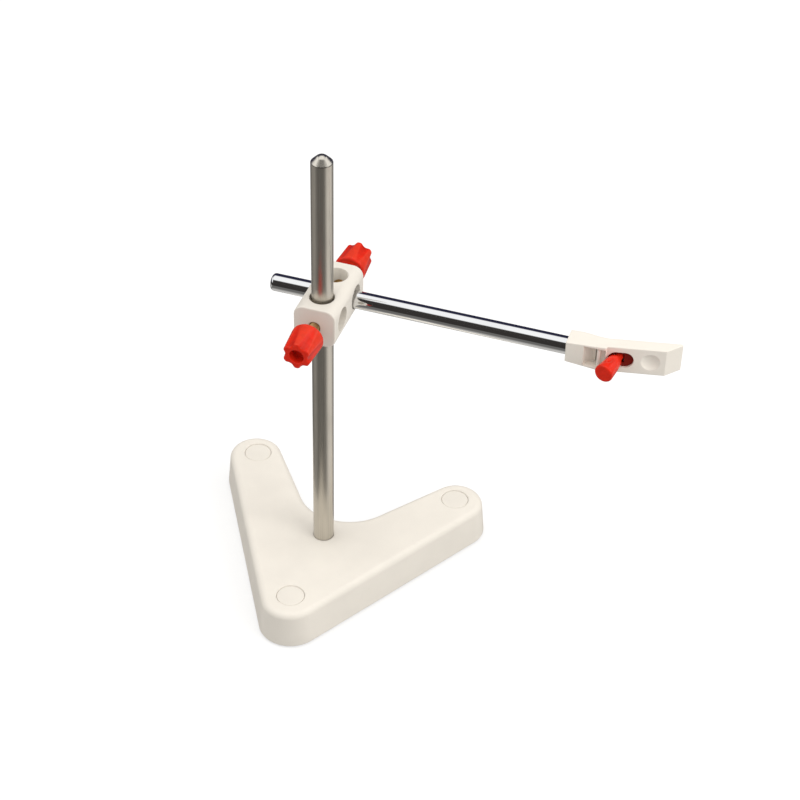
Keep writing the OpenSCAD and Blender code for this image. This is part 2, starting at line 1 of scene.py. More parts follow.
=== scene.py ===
import math
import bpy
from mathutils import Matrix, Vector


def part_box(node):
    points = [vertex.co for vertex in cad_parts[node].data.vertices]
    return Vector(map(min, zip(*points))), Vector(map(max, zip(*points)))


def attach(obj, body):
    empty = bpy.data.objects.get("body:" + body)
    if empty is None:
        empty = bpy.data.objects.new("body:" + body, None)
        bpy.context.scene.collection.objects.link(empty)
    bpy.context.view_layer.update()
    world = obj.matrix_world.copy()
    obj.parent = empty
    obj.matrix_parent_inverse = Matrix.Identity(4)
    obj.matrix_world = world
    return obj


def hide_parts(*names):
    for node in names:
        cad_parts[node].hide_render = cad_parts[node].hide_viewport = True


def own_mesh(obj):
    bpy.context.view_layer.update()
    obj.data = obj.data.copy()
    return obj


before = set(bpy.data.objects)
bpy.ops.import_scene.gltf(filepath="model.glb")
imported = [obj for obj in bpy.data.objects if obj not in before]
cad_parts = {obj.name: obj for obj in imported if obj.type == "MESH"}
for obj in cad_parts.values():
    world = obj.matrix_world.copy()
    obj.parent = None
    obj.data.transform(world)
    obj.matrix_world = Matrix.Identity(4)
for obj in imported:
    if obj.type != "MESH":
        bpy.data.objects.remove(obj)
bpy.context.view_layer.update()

from types import SimpleNamespace

import bpy
import numpy as np
from bpy.props import FloatProperty, FloatVectorProperty, IntProperty, PointerProperty
from mathutils import Matrix, Vector
from mathutils.geometry import tessellate_polygon

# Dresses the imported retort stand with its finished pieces, materials, studio and camera
bl_info = {
    "name": "Retort stand",
    "version": (1, 0, 0),
    "blender": (4, 5, 0),
    "location": "3D View > Sidebar > Retort stand",
    "description": "Builds the pieces, finishes and studio of a small laboratory retort stand",
    "category": "Object",
}

MM = 0.001
UP = (0, 0, 1)
PLUGS = ("plug_front", "plug_left", "plug_right")
# Points round a turned piece, unless it says otherwise
RING_STEPS = 96
# Two places closer than this are one place, in millimetres
SAME = 1e-6


def low(node, axis):
    """A CAD node's lowest coordinate on an axis, in millimetres."""
    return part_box(node)[0][axis] / MM


def high(node, axis):
    """A CAD node's highest coordinate on an axis, in millimetres."""
    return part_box(node)[1][axis] / MM


def middle(node, axis):
    """The middle of a CAD node on an axis, in millimetres."""
    return (low(node, axis) + high(node, axis)) / 2


def half_size(node, axis):
    """Half of a CAD node's size on an axis, in millimetres."""
    return (high(node, axis) - low(node, axis)) / 2


def plan_place(node):
    """The middle of a CAD node, seen from above."""
    return middle(node, 0), middle(node, 1)


def screen(red, green, blue):
    """A linear colour from its 8-bit screen values."""
    def linear(v):
        v /= 255
        return v / 12.92 if v <= 0.04045 else ((v + 0.055) / 1.055) ** 2.4
    return (linear(red), linear(green), linear(blue))


def length(name, description, default):
    """A size property, given in millimetres."""
    return FloatProperty(name=name, description=description, default=default * MM, min=0,
                         precision=5, unit="LENGTH")


def angle(name, description, default):
    """An angle property, given in degrees."""
    return FloatProperty(name=name, description=description, default=math.radians(default), subtype="ANGLE")


def colour(name, description, default):
    """A colour property."""
    return FloatVectorProperty(name=name, description=description, default=default, size=3,
                               min=0, max=1, subtype="COLOR")


def in_mm(group):
    """A group's sizes by name: lengths in millimetres, and the others as they are."""
    sizes = {}
    for key in type(group).__annotations__:
        unit = MM if group.bl_rna.properties[key].unit == "LENGTH" else 1
        sizes[key] = getattr(group, key) / unit
    return SimpleNamespace(**sizes)


class BaseSizes(bpy.types.PropertyGroup):
    """Sizes of the V base."""
    leg_span: length("Leg span", "Distance from the front plug to each leg's plug", 128)
    leg_angle: angle("Leg angle", "Angle between the two legs", 60)
    front_radius: length("Front radius", "Radius of the front corner at the foot", 18.8)
    leg_radius: length("Leg end radius", "Radius of each leg's end at the foot", 17.5)
    leg_taper: angle("Leg taper", "Angle by which a leg's inner side closes in", 7)
    crotch_radius: length("Crotch radius", "Radius of the crotch between the legs", 29)
    draft: angle("Draft", "Lean of the outer walls", 5)
    edge_radius: length("Top edge radius", "Rounding of the top edge", 4)
    foot_radius: length("Foot edge radius", "Rounding of the lower edge", 0.7)
    rim_width: length("Rim width", "Width of the shell's lower rim", 4.66)
    top_wall: length("Top wall", "Thickness of the shell's top", 4.6)
    plug_gap: length("Plug gap", "Gap round each plug", 0.12)
    lip_radius: length("Lip radius", "Rounding of the lip round each plug", 0.7)


class HeadSizes(bpy.types.PropertyGroup):
    """Sizes of the boss head and its knobs."""
    corner: length("Corner radius", "Corner radius of the boss head's section", 6)
    end_edge: length("End edge", "Rounding of the boss head's end edges", 0.8)
    hole: length("Rod hole", "Radius of the rod holes", 6.8)
    hole_edge: length("Hole edge", "Rounding of the rod holes' rims", 0.45)
    station_end: length("Station end", "Distance from a station to the nearer end face", 12.2)
    thread_pitch: length("Thread pitch", "Pitch of the clamp screws", 1)
    thread_depth: length("Thread depth", "Depth of that thread", 0.5)
    flutes: IntProperty(name="Flutes", description="Number of flutes round a knob", default=6, min=3, max=12)
    flute_radius: length("Flute radius", "Radius of a knob's flute", 3)
    flute_depth: length("Flute depth", "Depth of a flute at the knob's outer end", 1.5)
    flute_length: length("Flute length", "Length of a flute from the outer end", 14)
    knob_rim: length("Knob rim", "Height of the knob's round rim", 2.4)
    knob_end: length("Knob end radius", "Radius of the knob at its outer end", 8.0)
    knob_fullness: length("Knob fullness", "Extra radius of the moulded knob over its solid", 0.4)
    knob_edge: length("Knob edge", "Rounding of the knob's edges", 0.9)
    recess_radius: length("Recess radius", "Radius of the recess in the knob's end", 4.1)
    recess_depth: length("Recess depth", "Depth of that recess", 6)


class HolderSizes(bpy.types.PropertyGroup):
    """Sizes of the quick-release holder."""
    neck_height: length("Neck height", "Height of the neck at the arm", 12.8)
    neck_depth: length("Neck depth", "Thickness of the neck at the arm", 12)
    neck_length: length("Neck length", "Length of the neck block up to the plate", 22.6)
    plate_height: length("Plate height", "Height of the plate", 16.6)
    plate_depth: length("Plate depth", "Thickness of the plate", 7.8)
    plate_length: length("Plate length", "Length of the plate's front face", 31.4)
    plate_bend: angle("Plate bend", "Angle by which the plate bends back", 12)
    heel_at: length("Heel place", "Distance from the plate's left end to the foot of the sloping back", 3)
    plate_step: length("Plate step", "Step from the neck's front down to the plate", 1.5)
    step_width: length("Step width", "Width of that step", 0.6)
    end_slant: FloatProperty(name="End slant", description="Slant of the plate's end", default=1.3, min=0)
    end_flat: length("End flat", "Width of the blunt edge at the plate's end", 1.2)
    seat_radius: length("Seat radius", "Radius of the round seat", 5.9)
    seat_height: length("Seat height", "Height of the seat", 12.2)
    front_wall: length("Front wall", "Thickness of the plate's front wall", 1.7)
    slot_length: length("Slot length", "Length of the lever's slot", 14.1)
    slot_height: length("Slot height", "Height of the lever's slot", 9.7)
    pivot_at: length("Pivot place", "Distance from the plate's left end to the pivot", 7.3)
    dimple_at: length("Dimple place", "Distance from the plate's left end to the thumb dimple", 23.3)
    dimple_radius: length("Dimple radius", "Radius of the thumb dimple", 5.1)
    dimple_depth: length("Dimple depth", "Depth of the thumb dimple", 1.9)
    cover_depth: length("Cover depth", "Thickness of the rear cover", 1.2)
    slider_depth: length("Slider depth", "Thickness of the slider behind the slot", 1.2)
    jaw_width: length("Jaw width", "Width of the jaw", 1.8)
    spring_room: length("Spring room", "Room for the jaw's spring", 4.8)
    spring_radius: length("Spring radius", "Outside radius of the jaw's spring", 1.6)
    spring_wire: length("Spring wire", "Thickness of its wire", 0.45)
    edge: length("Edge radius", "Rounding of the holder's edges", 0.55)
    lever_lean: angle("Lever lean", "Lean of the lever at rest", 25.5)
    lever_length: length("Lever length", "Length of the lever from its pivot", 20)
    lever_end: length("Lever end radius", "Radius of the lever at its outer end", 5.2)
    lever_root: length("Lever root radius", "Radius of the lever at the slot", 3.7)
    lever_foot: length("Lever foot", "Distance from the pivot to the handle", 5.8)


class StandColours(bpy.types.PropertyGroup):
    """Colours of the finishes."""
    cream: colour("Cream", "Moulded cream plastic", screen(237, 231, 221))
    red: colour("Red", "Moulded red plastic", screen(225, 42, 22))
    steel: colour("Steel", "Ground steel of the upright", screen(205, 200, 190))
    chrome: colour("Chrome", "Plated cross arm", screen(244, 245, 246))
    brass: colour("Brass", "Turned brass", screen(226, 188, 132))
    zinc: colour("Zinc", "Plated screws, nut and pin", screen(176, 178, 180))
    iron: colour("Iron", "Cast ballast plate", screen(70, 70, 72))
    rubber: colour("Rubber", "Sheet under the base", screen(38, 38, 39))


class Wire:
    """A socket of a node tree. Arithmetic on it adds Math nodes to that tree."""

    def __init__(self, tree, socket):
        self.tree, self.socket = tree, socket

    def math(self, operation, *values):
        """A Math node on these values."""
        return self.tree.add("ShaderNodeMath", dict(enumerate(values)), operation=operation)

    def __add__(self, other):
        return self.math("ADD", self, other)

    def __radd__(self, other):
        return self.math("ADD", other, self)

    def __sub__(self, other):
        return self.math("SUBTRACT", self, other)

    def __rsub__(self, other):
        return self.math("SUBTRACT", other, self)

    def __mul__(self, other):
        return self.math("MULTIPLY", self, other)

    def __rmul__(self, other):
        return self.math("MULTIPLY", other, self)

    def __truediv__(self, other):
        return self.math("DIVIDE", self, other)

    def __rtruediv__(self, other):
        return self.math("DIVIDE", other, self)

    def __pow__(self, other):
        return self.math("POWER", self, other)

    def __rpow__(self, other):
        return self.math("POWER", other, self)

    def __abs__(self):
        return self.math("ABSOLUTE", self)

    def at_least(self, other):
        """The larger of this and another."""
        return self.math("MAXIMUM", self, other)

    def at_most(self, other):
        """The smaller of this and another."""
        return self.math("MINIMUM", self, other)

    def step(self, start, end):
        """Rises smoothly from 0 at start to 1 at end."""
        return self.tree.add("ShaderNodeMapRange", {0: self, 1: start, 2: end, 3: 0.0, 4: 1.0},
                             interpolation_type="SMOOTHSTEP")


class Tree:
    """A node tree that is filled by calls."""

    def __init__(self, owner):
        owner.use_nodes = True
        self.nodes = owner.node_tree.nodes
        self.links = owner.node_tree.links
        self.nodes.clear()

    def add(self, kind, sockets=None, out=0, **settings):
        """Adds a node: its settings first, then its sockets' values or links. Gives one of its outputs."""
        node = self.nodes.new(kind)
        for key, value in settings.items():
            setattr(node, key, value)
        for key, value in (sockets or {}).items():
            socket = node.inputs[key]
            if isinstance(value, Wire):
                self.links.new(value.socket, socket)
            elif socket.type == "RGBA" and len(value) == 3:
                socket.default_value = (*value, 1)
            else:
                socket.default_value = value
        return Wire(self, node.outputs[out]) if node.outputs else None

    def blend(self, share, first, second):
        """A mix of two colours."""
        return self.add("ShaderNodeMix", {0: share, 6: first, 7: second}, out=2, data_type="RGBA")

    def place(self, scale=(1, 1, 1)):
        """The piece's own coordinates in millimetres, stretched by a scale on each axis."""
        own = self.add("ShaderNodeTexCoord", out=3)
        per_mm = tuple(s / MM for s in scale)
        return self.add("ShaderNodeVectorMath", {0: own, 1: per_mm}, operation="MULTIPLY")

    def axes(self, vector):
        """A vector's three parts."""
        split = self.add("ShaderNodeSeparateXYZ", {0: vector})
        return [Wire(self, s) for s in split.socket.node.outputs]

    def noise(self, place, scale, detail=2.0, rough=0.5):
        """Noise from 0 to 1."""
        sockets = {"Vector": place, "Scale": scale, "Detail": detail, "Roughness": rough}
        return self.add("ShaderNodeTexNoise", sockets)

    def bump(self, height, depth):
        """A normal from a height whose full range is a depth in millimetres."""
        return self.add("ShaderNodeBump", {"Strength": 1.0, "Distance": depth * MM, "Height": height})

    def surface(self, **sockets):
        """The finish's shader, with socket names written with underscores."""
        values = {key.replace("_", " "): value for key, value in sockets.items()}
        shader = self.add("ShaderNodeBsdfPrincipled", values)
        self.add("ShaderNodeOutputMaterial", {0: shader})


def shaded(tone, factor):
    """A colour made lighter or darker."""
    return tuple(min(1.0, v * factor) for v in tone)


def finish(name):
    """A new material and its tree."""
    material = bpy.data.materials.new(name)
    return material, Tree(material)


def moulded_cream(name, tone, marks=()):
    """Cream plastic with a mould grain, faint clouding, handling marks and a grey line round its inlays."""
    material, tree = finish(name)
    place = tree.place()
    cloud = tree.noise(place, 0.045, 3.0)
    speck = tree.noise(place, 1.7, 2.0)
    rub = tree.noise(tree.place((0.9, 0.16, 0.5)), 0.7, 4.0, 0.65)
    scuff = rub.step(0.62, 0.78)
    body = tree.blend(cloud.step(0.3, 0.7), shaded(tone, 0.975), shaded(tone, 1.015))
    body = tree.blend(speck.step(0.66, 0.8) * 0.2, body, shaded(tone, 0.93))
    body = tree.blend(scuff * 0.12, body, (0.62, 0.6, 0.57))
    for centre, radius in marks:
        x, y, _ = tree.axes(place)
        ring = ((x - centre[0]) ** 2 + (y - centre[1]) ** 2) ** 0.5
        line = 1 - abs(ring - radius).step(0.1, 1.1)
        body = tree.blend(line * 0.07, body, shaded(tone, 0.66))
    grain = tree.noise(place, 2.6, 3.0, 0.6)
    tree.surface(Base_Color=body, Roughness=0.42 + speck * 0.1 + scuff * 0.12, IOR=1.49,
                 Normal=tree.bump(grain * 0.7 + rub * 0.3, 0.018))
    return material


def moulded_red(name, tone, knob=None):
    """Glossy red plastic, brighter on worn patches and a knob's crests, and darker in its flutes."""
    material, tree = finish(name)
    place = tree.place()
    cloud = tree.noise(place, 0.3, 3.0)
    speck = tree.noise(place, 3.2, 2.0)
    wear = tree.noise(place, 0.9, 4.0, 0.7).step(0.6, 0.76)
    body = tree.blend(cloud.step(0.3, 0.7), shaded(tone, 0.9), shaded(tone, 1.06))
    body = tree.blend(wear * 0.16, body, (0.9, 0.16, 0.1))
    if knob:
        middle_y, z0, start, tall, wide, slope, depth = knob
        x, y, z = tree.axes(place)
        height = abs(y - middle_y) - start
        dip = wide - slope * height - (x ** 2 + (z - z0) ** 2) ** 0.5
        wall = 1 - height.step(tall - 1.0, tall - 0.3)
        flute = dip.step(0.25, depth) * (1 - dip.step(depth + 0.6, depth + 1.2)) * wall
        crest = (1 - dip.step(0.05, 0.35)) * height.step(0.3, 1.5)
        body = tree.blend(flute * 0.45, body, shaded(tone, 0.5))
        body = tree.blend(crest * 0.12, body, (0.95, 0.2, 0.1))
    tree.surface(Base_Color=body, Roughness=0.17 + speck * 0.08 + wear * 0.1, IOR=1.5,
                 Specular_IOR_Level=0.28, Normal=tree.bump(tree.noise(place, 3.0, 3.0), 0.014))
    return material


def ground_steel(name, tone, tip):
    """Satin steel with fine rings, long streaks, dull spots and a polished tip above a height."""
    material, tree = finish(name)
    streak = tree.noise(tree.place((2.4, 2.4, 0.012)), 1.0, 4.0, 0.6)
    ring = tree.noise(tree.place((0.05, 0.05, 5.0)), 1.0, 3.0)
    stain = tree.noise(tree.place((0.16, 0.16, 0.05)), 1.0, 3.0)
    spot = tree.noise(tree.place((0.9, 0.9, 0.5)), 1.0, 2.0).step(0.68, 0.76)
    polish = tree.axes(tree.place())[2].step(tip - 0.3, tip + 0.3)
    body = tree.blend(streak.step(0.25, 0.75), shaded(tone, 0.86), shaded(tone, 1.05))
    body = tree.blend(stain.step(0.4, 0.75) * 0.3, body, shaded(tone, 0.72))
    body = tree.blend(polish, body, shaded(tone, 1.25))
    dull = 0.24 + streak * 0.1 + stain * 0.08 + spot * 0.1
    tree.surface(Base_Color=body, Metallic=1.0, Roughness=dull * (1 - polish * 0.25),
                 Normal=tree.bump(streak * 0.6 + ring * 0.4, 0.004))
    return material


def plated_chrome(name, tone):
    """Polished chrome with hair scratches along the bar and a faint haze of handling."""
    material, tree = finish(name)
    haze = tree.noise(tree.place((0.05, 0.2, 0.2)), 1.0, 3.0)
    hair = tree.noise(tree.place((0.03, 3.5, 3.5)), 1.0, 3.0, 0.7)
    nick = tree.noise(tree.place((0.6, 0.6, 0.6)), 1.0, 2.0).step(0.74, 0.8)
    body = tree.blend(haze.step(0.3, 0.7), shaded(tone, 0.95), tone)
    dull = 0.045 + haze * 0.04 + hair.step(0.6, 0.8) * 0.05 + nick * 0.08
    tree.surface(Base_Color=body, Metallic=1.0, Roughness=dull, Normal=tree.bump(hair, 0.0006))
    return material


def worked_metal(name, tone, gloss, grain, depth):
    """A plain metal with turning lines, tarnish and a fine grain."""
    material, tree = finish(name)
    place = tree.place()
    tarnish = tree.noise(place, 0.45, 4.0, 0.6)
    fine = tree.noise(place, grain, 3.0)
    body = tree.blend(tarnish.step(0.35, 0.7), shaded(tone, 1.04), shaded(tone, 0.76))
    tree.surface(Base_Color=body, Metallic=1.0, Roughness=gloss + tarnish * 0.16 + fine * 0.08,
                 Normal=tree.bump(fine, depth))
    return material


def cast_plate(name, tone):
    """Rough cast iron under a thin dark paint, with bare worn patches."""
    material, tree = finish(name)
    place = tree.place()
    lump = tree.noise(place, 0.9, 5.0, 0.65)
    bare = tree.noise(place, 0.12, 4.0, 0.7).step(0.6, 0.7)
    body = tree.blend(bare, tone, shaded(tone, 2.2))
    tree.surface(Base_Color=body, Metallic=bare * 0.8, Roughness=0.62 + lump * 0.2,
                 Normal=tree.bump(lump, 0.12))
    return material


def rubber_sheet(name, tone):
    """Matt rubber sheet with a pressed dot pattern and grey dust."""
    material, tree = finish(name)
    place = tree.place()
    dust = tree.noise(place, 0.2, 4.0, 0.6).step(0.45, 0.75)
    dots = tree.add("ShaderNodeTexVoronoi", {"Vector": place, "Scale": 0.5, "Randomness": 0.0})
    body = tree.blend(dust * 0.4, tone, (0.16, 0.155, 0.15))
    tree.surface(Base_Color=body, Roughness=0.78 + dust * 0.15,
                 Normal=tree.bump(1 - dots.step(0.3, 0.7), 0.15))
    return material


def rounded(corners, steps=6):
    """A profile of (radius, height, fillet) corners as (radius, height, two parts of its normal)."""
    flat = [np.array(c[:2], float) for c in corners]
    ways = [(b - a) / np.linalg.norm(b - a) for a, b in zip(flat, flat[1:])]
    sides = [np.array([w[1], -w[0]]) for w in ways]
    profile = [(*flat[0], *sides[0])]
    for i in range(1, len(flat) - 1):
        before, after, fillet = sides[i - 1], sides[i], corners[i][2]
        if fillet <= 0:
            profile += [(*flat[i], *before), (*flat[i], *after)]
            continue
        start = math.atan2(before[1], before[0])
        turn = math.remainder(math.atan2(after[1], after[0]) - start, 2 * math.pi)
        bulge = math.copysign(fillet, turn)
        centre = flat[i] - ways[i - 1] * fillet * math.tan(abs(turn) / 2) - bulge * before
        for k in range(steps + 1):
            out = np.array([math.cos(start + turn * k / steps), math.sin(start + turn * k / steps)])
            profile.append((*(centre + bulge * out), *out))
    profile.append((*flat[-1], *sides[-1]))
    return profile


def lathe(corners, origin, axis, steps=RING_STEPS, fillet_steps=6):
    """Points, faces and normals of a profile turned about an axis, in millimetres."""
    origin, axis = Vector(origin), Vector(axis).normalized()
    side = axis.orthogonal().normalized()
    across = axis.cross(side)
    points, normals, faces, rings = [], [], [], []
    profile = [p for p in rounded(corners, fillet_steps) if p[0] > -SAME]
    for r, h, nr, nh in profile:
        count = steps if r > SAME else 1
        rings.append([len(points) + i % count for i in range(steps)])
        for i in range(count):
            turn = 2 * math.pi * i / steps
            out = side * math.cos(turn) + across * math.sin(turn)
            points.append(origin + out * r + axis * h)
            normals.append(out * nr + axis * nh if count > 1 else axis * math.copysign(1, nh))
    for a, b, p, q in zip(rings, rings[1:], profile, profile[1:]):
        if math.dist(p[:2], q[:2]) < SAME:
            continue
        for i in range(steps):
            j = (i + 1) % steps
            faces.append(list(dict.fromkeys((a[i], a[j], b[j], b[i]))))
    return points, faces, normals


def gather(*shapes):
    """Several shapes of points, faces and normals as one."""
    points, faces, normals = [], [], []
    for p, f, n in shapes:
        faces += [[i + len(points) for i in face] for face in f]
        points += list(p)
        normals += list(n)
    return points, faces, normals


def bands(count, levels):
    """Faces that join each of these levels, in a stack of closed rings, to the next."""
    faces = []
    for level in levels:
        for i in range(count):
            a, b = level * count + i, level * count + (i + 1) % count
            faces.append([a, b, b + count, a + count])
    return faces


def sheet(loops, up):
    """A flat sheet that fills an outline but not its holes, and faces up (1) or down (-1)."""
    points = [p for loop in loops for p in loop]
    faces = []
    for face in tessellate_polygon(loops):
        a, b, c = (points[i] for i in face)
        faces.append(list(face) if (b - a).cross(c - a).z * up > 0 else list(face)[::-1])
    return points, faces, [(0, 0, up)] * len(points)


def both(a, b, r=0.0):
    """The field of what lies inside both fields, with the edge between them rounded."""
    if r <= 0:
        return np.maximum(a, b)
    return np.minimum(np.maximum(a, b), -r) + np.hypot(np.maximum(a + r, 0), np.maximum(b + r, 0))


def either(a, b, r=0.0):
    """The field of what lies inside either field, with the corner between them filled."""
    return -both(-a, -b, r)


def without(a, b, r=0.0):
    """The field of what lies inside the first and outside the second, with the edge between them rounded."""
    return both(a, -b, r)


def between(u, start, end):
    """The field of a slab between two places."""
    return abs(u - (start + end) / 2) - (end - start) / 2


def folded(u, v, count):
    """How far points lie out along and across the nearest of a count of evenly spaced rays."""
    sector = 2 * math.pi / count
    turn = (np.arctan2(v, u) + sector / 2) % sector - sector / 2
    r = np.hypot(u, v)
    return r * np.cos(turn), r * np.sin(turn)


def block(u, v, half_u, half_v, r=0.0):
    """The field of a rectangle about the origin, with rounded corners."""
    du, dv = abs(u) - half_u + r, abs(v) - half_v + r
    return np.hypot(np.maximum(du, 0), np.maximum(dv, 0)) + np.minimum(np.maximum(du, dv), 0) - r


def drawn_in(corners, r):
    """A closed outline, counter-clockwise, with its sides moved inwards."""
    lines = []
    for a, b in zip(corners, corners[1:] + corners[:1]):
        a, b = np.array(a, float), np.array(b, float)
        way = (b - a) / np.linalg.norm(b - a)
        lines.append((a + r * np.array([-way[1], way[0]]), way))
    moved = []
    for (p, d), (q, e) in zip(lines[-1:] + lines[:-1], lines):
        moved.append(p + d * np.cross(q - p, e) / np.cross(d, e))
    return moved


def outline(u, v, corners, r=0.0):
    """The field of a closed outline, counter-clockwise, with its outward corners rounded."""
    corners = drawn_in(corners, r)
    nearest = np.full(u.shape, 1e9)
    sign = np.ones(u.shape)
    for a, b in zip(corners, corners[1:] + corners[:1]):
        e = b - a
        wu, wv = u - a[0], v - a[1]
        t = np.clip((wu * e[0] + wv * e[1]) / (e @ e), 0, 1)
        nearest = np.minimum(nearest, (wu - e[0] * t) ** 2 + (wv - e[1] * t) ** 2)
        left = e[0] * wv - e[1] * wu
        rising = (v >= a[1]) & (v < b[1]) & (left > 0)
        falling = (v < a[1]) & (v >= b[1]) & (left < 0)
        sign = np.where(rising | falling, -sign, sign)
    return sign * np.sqrt(nearest) - r


def skin(field, lowest, highest, step):
    """Points, faces and normals of a field's zero surface: one point in each grid cell that it crosses."""
    axes = [np.arange(a - 1.5 * step, b + 2.5 * step, step) for a, b in zip(lowest, highest)]
    inside = field(*np.meshgrid(*axes, indexing="ij")) < 0
    size = np.array(inside.shape)
    corners = np.zeros(size - 1, int)
    for i in (0, 1):
        for j in (0, 1):
            for k in (0, 1):
                corners += inside[i:size[0] - 1 + i, j:size[1] - 1 + j, k:size[2] - 1 + k]
    crossed = np.argwhere((corners > 0) & (corners < 8))
    number = np.full(size - 1, -1)
    number[tuple(crossed.T)] = np.arange(len(crossed))
    home = np.array([axes[i][0] + (crossed[:, i] + 0.5) * step for i in range(3)])
    points = home.copy()
    probe, reach, rounds, least_grade, merge = 0.02 * step, 0.8 * step, 6, 0.05, 1e-3

    def slope(at):
        moves = [probe * e[:, None] for e in np.eye(3)]
        return np.array([field(*(at + move)) - field(*(at - move)) for move in moves]) / (2 * probe)

    for _ in range(rounds):
        grade = slope(points)
        points -= field(*points) * grade / np.maximum((grade ** 2).sum(0), least_grade)
        points = np.clip(points, home - reach, home + reach)
    normals = slope(points)
    normals /= np.maximum(np.linalg.norm(normals, axis=0), 1e-9)
    faces = []
    for a in range(3):
        b, c = (a + 1) % 3, (a + 2) % 3
        first = np.take(inside, range(size[a] - 1), a)
        at = np.argwhere(first != np.take(inside, range(1, size[a]), a))
        outward = first[tuple(at.T)]
        eb, ec = np.eye(3, dtype=int)[b], np.eye(3, dtype=int)[c]
        quads = np.stack([number[tuple((at - eb - ec).T)], number[tuple((at - ec).T)],
                          number[tuple(at.T)], number[tuple((at - eb).T)]], 1)
        faces += np.where(outward[:, None], quads, quads[:, ::-1]).tolist()
    cells = np.round(points.T / merge).astype(int)
    _, kept, merged = np.unique(cells, axis=0, return_index=True, return_inverse=True)
    merged = merged.ravel().tolist()
    faces = [list(dict.fromkeys(merged[i] for i in face)) for face in faces]
    return points.T[kept], [face for face in faces if len(face) > 2], normals.T[kept]


def add_piece(name, shape, material, body, node):
    """Makes a piece from points in millimetres, faces and normals, on a body and in place of a CAD node."""
    points, faces, normals = shape
    mesh = bpy.data.meshes.new(name)
    mesh.from_pydata((np.array(points, float) * MM).tolist(), [], faces)
    mesh.polygons.foreach_set("use_smooth", [True] * len(mesh.polygons))
    if normals is not None:
        mesh.normals_split_custom_set_from_vertices([tuple(n) for n in normals])
    mesh.materials.append(material)
    piece = bpy.data.objects.new(name, mesh)
    bpy.context.scene.collection.objects.link(piece)
    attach(piece, body)
    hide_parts(node)
    return piece


def paint(material, *nodes):
    """Gives CAD nodes a finish."""
    for name in nodes:
        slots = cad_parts[name].data.materials
        slots.clear()
        slots.append(material)


def material(name, make, *values):
    """A finish that several pieces share, made once."""
    return bpy.data.materials.get(name) or make(name, *values)


def stand_colour(name, factor=1.0):
    """One of the stand's colours, made lighter or darker."""
    return shaded(getattr(bpy.context.scene.stand_colours, name), factor)


def cream():
    """The plain cream plastic."""
    return material("cream_moulding", moulded_cream, stand_colour("cream"))


def pale_cream():
    """The holder's paler cream plastic."""
    return material("holder_cream", moulded_cream, stand_colour("cream", 1.05))


def red():
    """The plain red plastic."""
    return material("red_moulding", moulded_red, stand_colour("red"))


def brass():
    """The brass of the clamp screws and bushes."""
    return material("turned_brass", worked_metal, stand_colour("brass"), 0.3, 2.0, 0.006)


def zinc():
    """The plating of the small screws, nut, pin and spring."""
    return material("zinc_plate", worked_metal, stand_colour("zinc"), 0.3, 3.0, 0.004)


def base_outline(size, inset, steps=36):
    """The V base's outline drawn in by an inset: points, and their outward directions."""
    half = size.leg_angle / 2
    inner = half + size.leg_taper
    front = np.array([0, middle("plug_front", 1)])
    leg = front + size.leg_span * np.array([math.sin(half), math.cos(half)])
    leg = leg + (size.front_radius - size.leg_radius) * np.array([math.cos(half), -math.sin(half)])
    rise = size.leg_radius + size.crotch_radius + leg @ np.array([-math.cos(inner), math.sin(inner)])
    crotch = np.array([0, rise / math.sin(inner)])
    arcs = [(front, size.front_radius - inset, half - math.pi, -half, 1),
            (leg, size.leg_radius - inset, -half, math.pi - inner, 1),
            (crotch, size.crotch_radius + inset, -inner, inner - math.pi, -1),
            (leg * [-1, 1], size.leg_radius - inset, inner, math.pi + half, 1)]
    points, ways = [], []
    for centre, r, start, end, sign in arcs:
        for i in range(steps + 1):
            turn = start + (end - start) * i / steps
            out = np.array([math.cos(turn), math.sin(turn)])
            points.append(centre + r * out)
            ways.append(sign * out)
    return points, ways


def base_wall(size, profile):
    """A skin through the base's outline at each (inset, height) of a profile with normals."""
    points, normals = [], []
    for inset, z, n_in, n_up in profile:
        ring, ways = base_outline(size, inset)
        points += [Vector((*p, z)) for p in ring]
        normals += [(-n_in * w[0], -n_in * w[1], n_up) for w in ways]
    levels = [k for k, (p, q) in enumerate(zip(profile, profile[1:])) if math.dist(p[:2], q[:2]) >= SAME]
    return points, bands(len(points) // len(profile), levels), normals


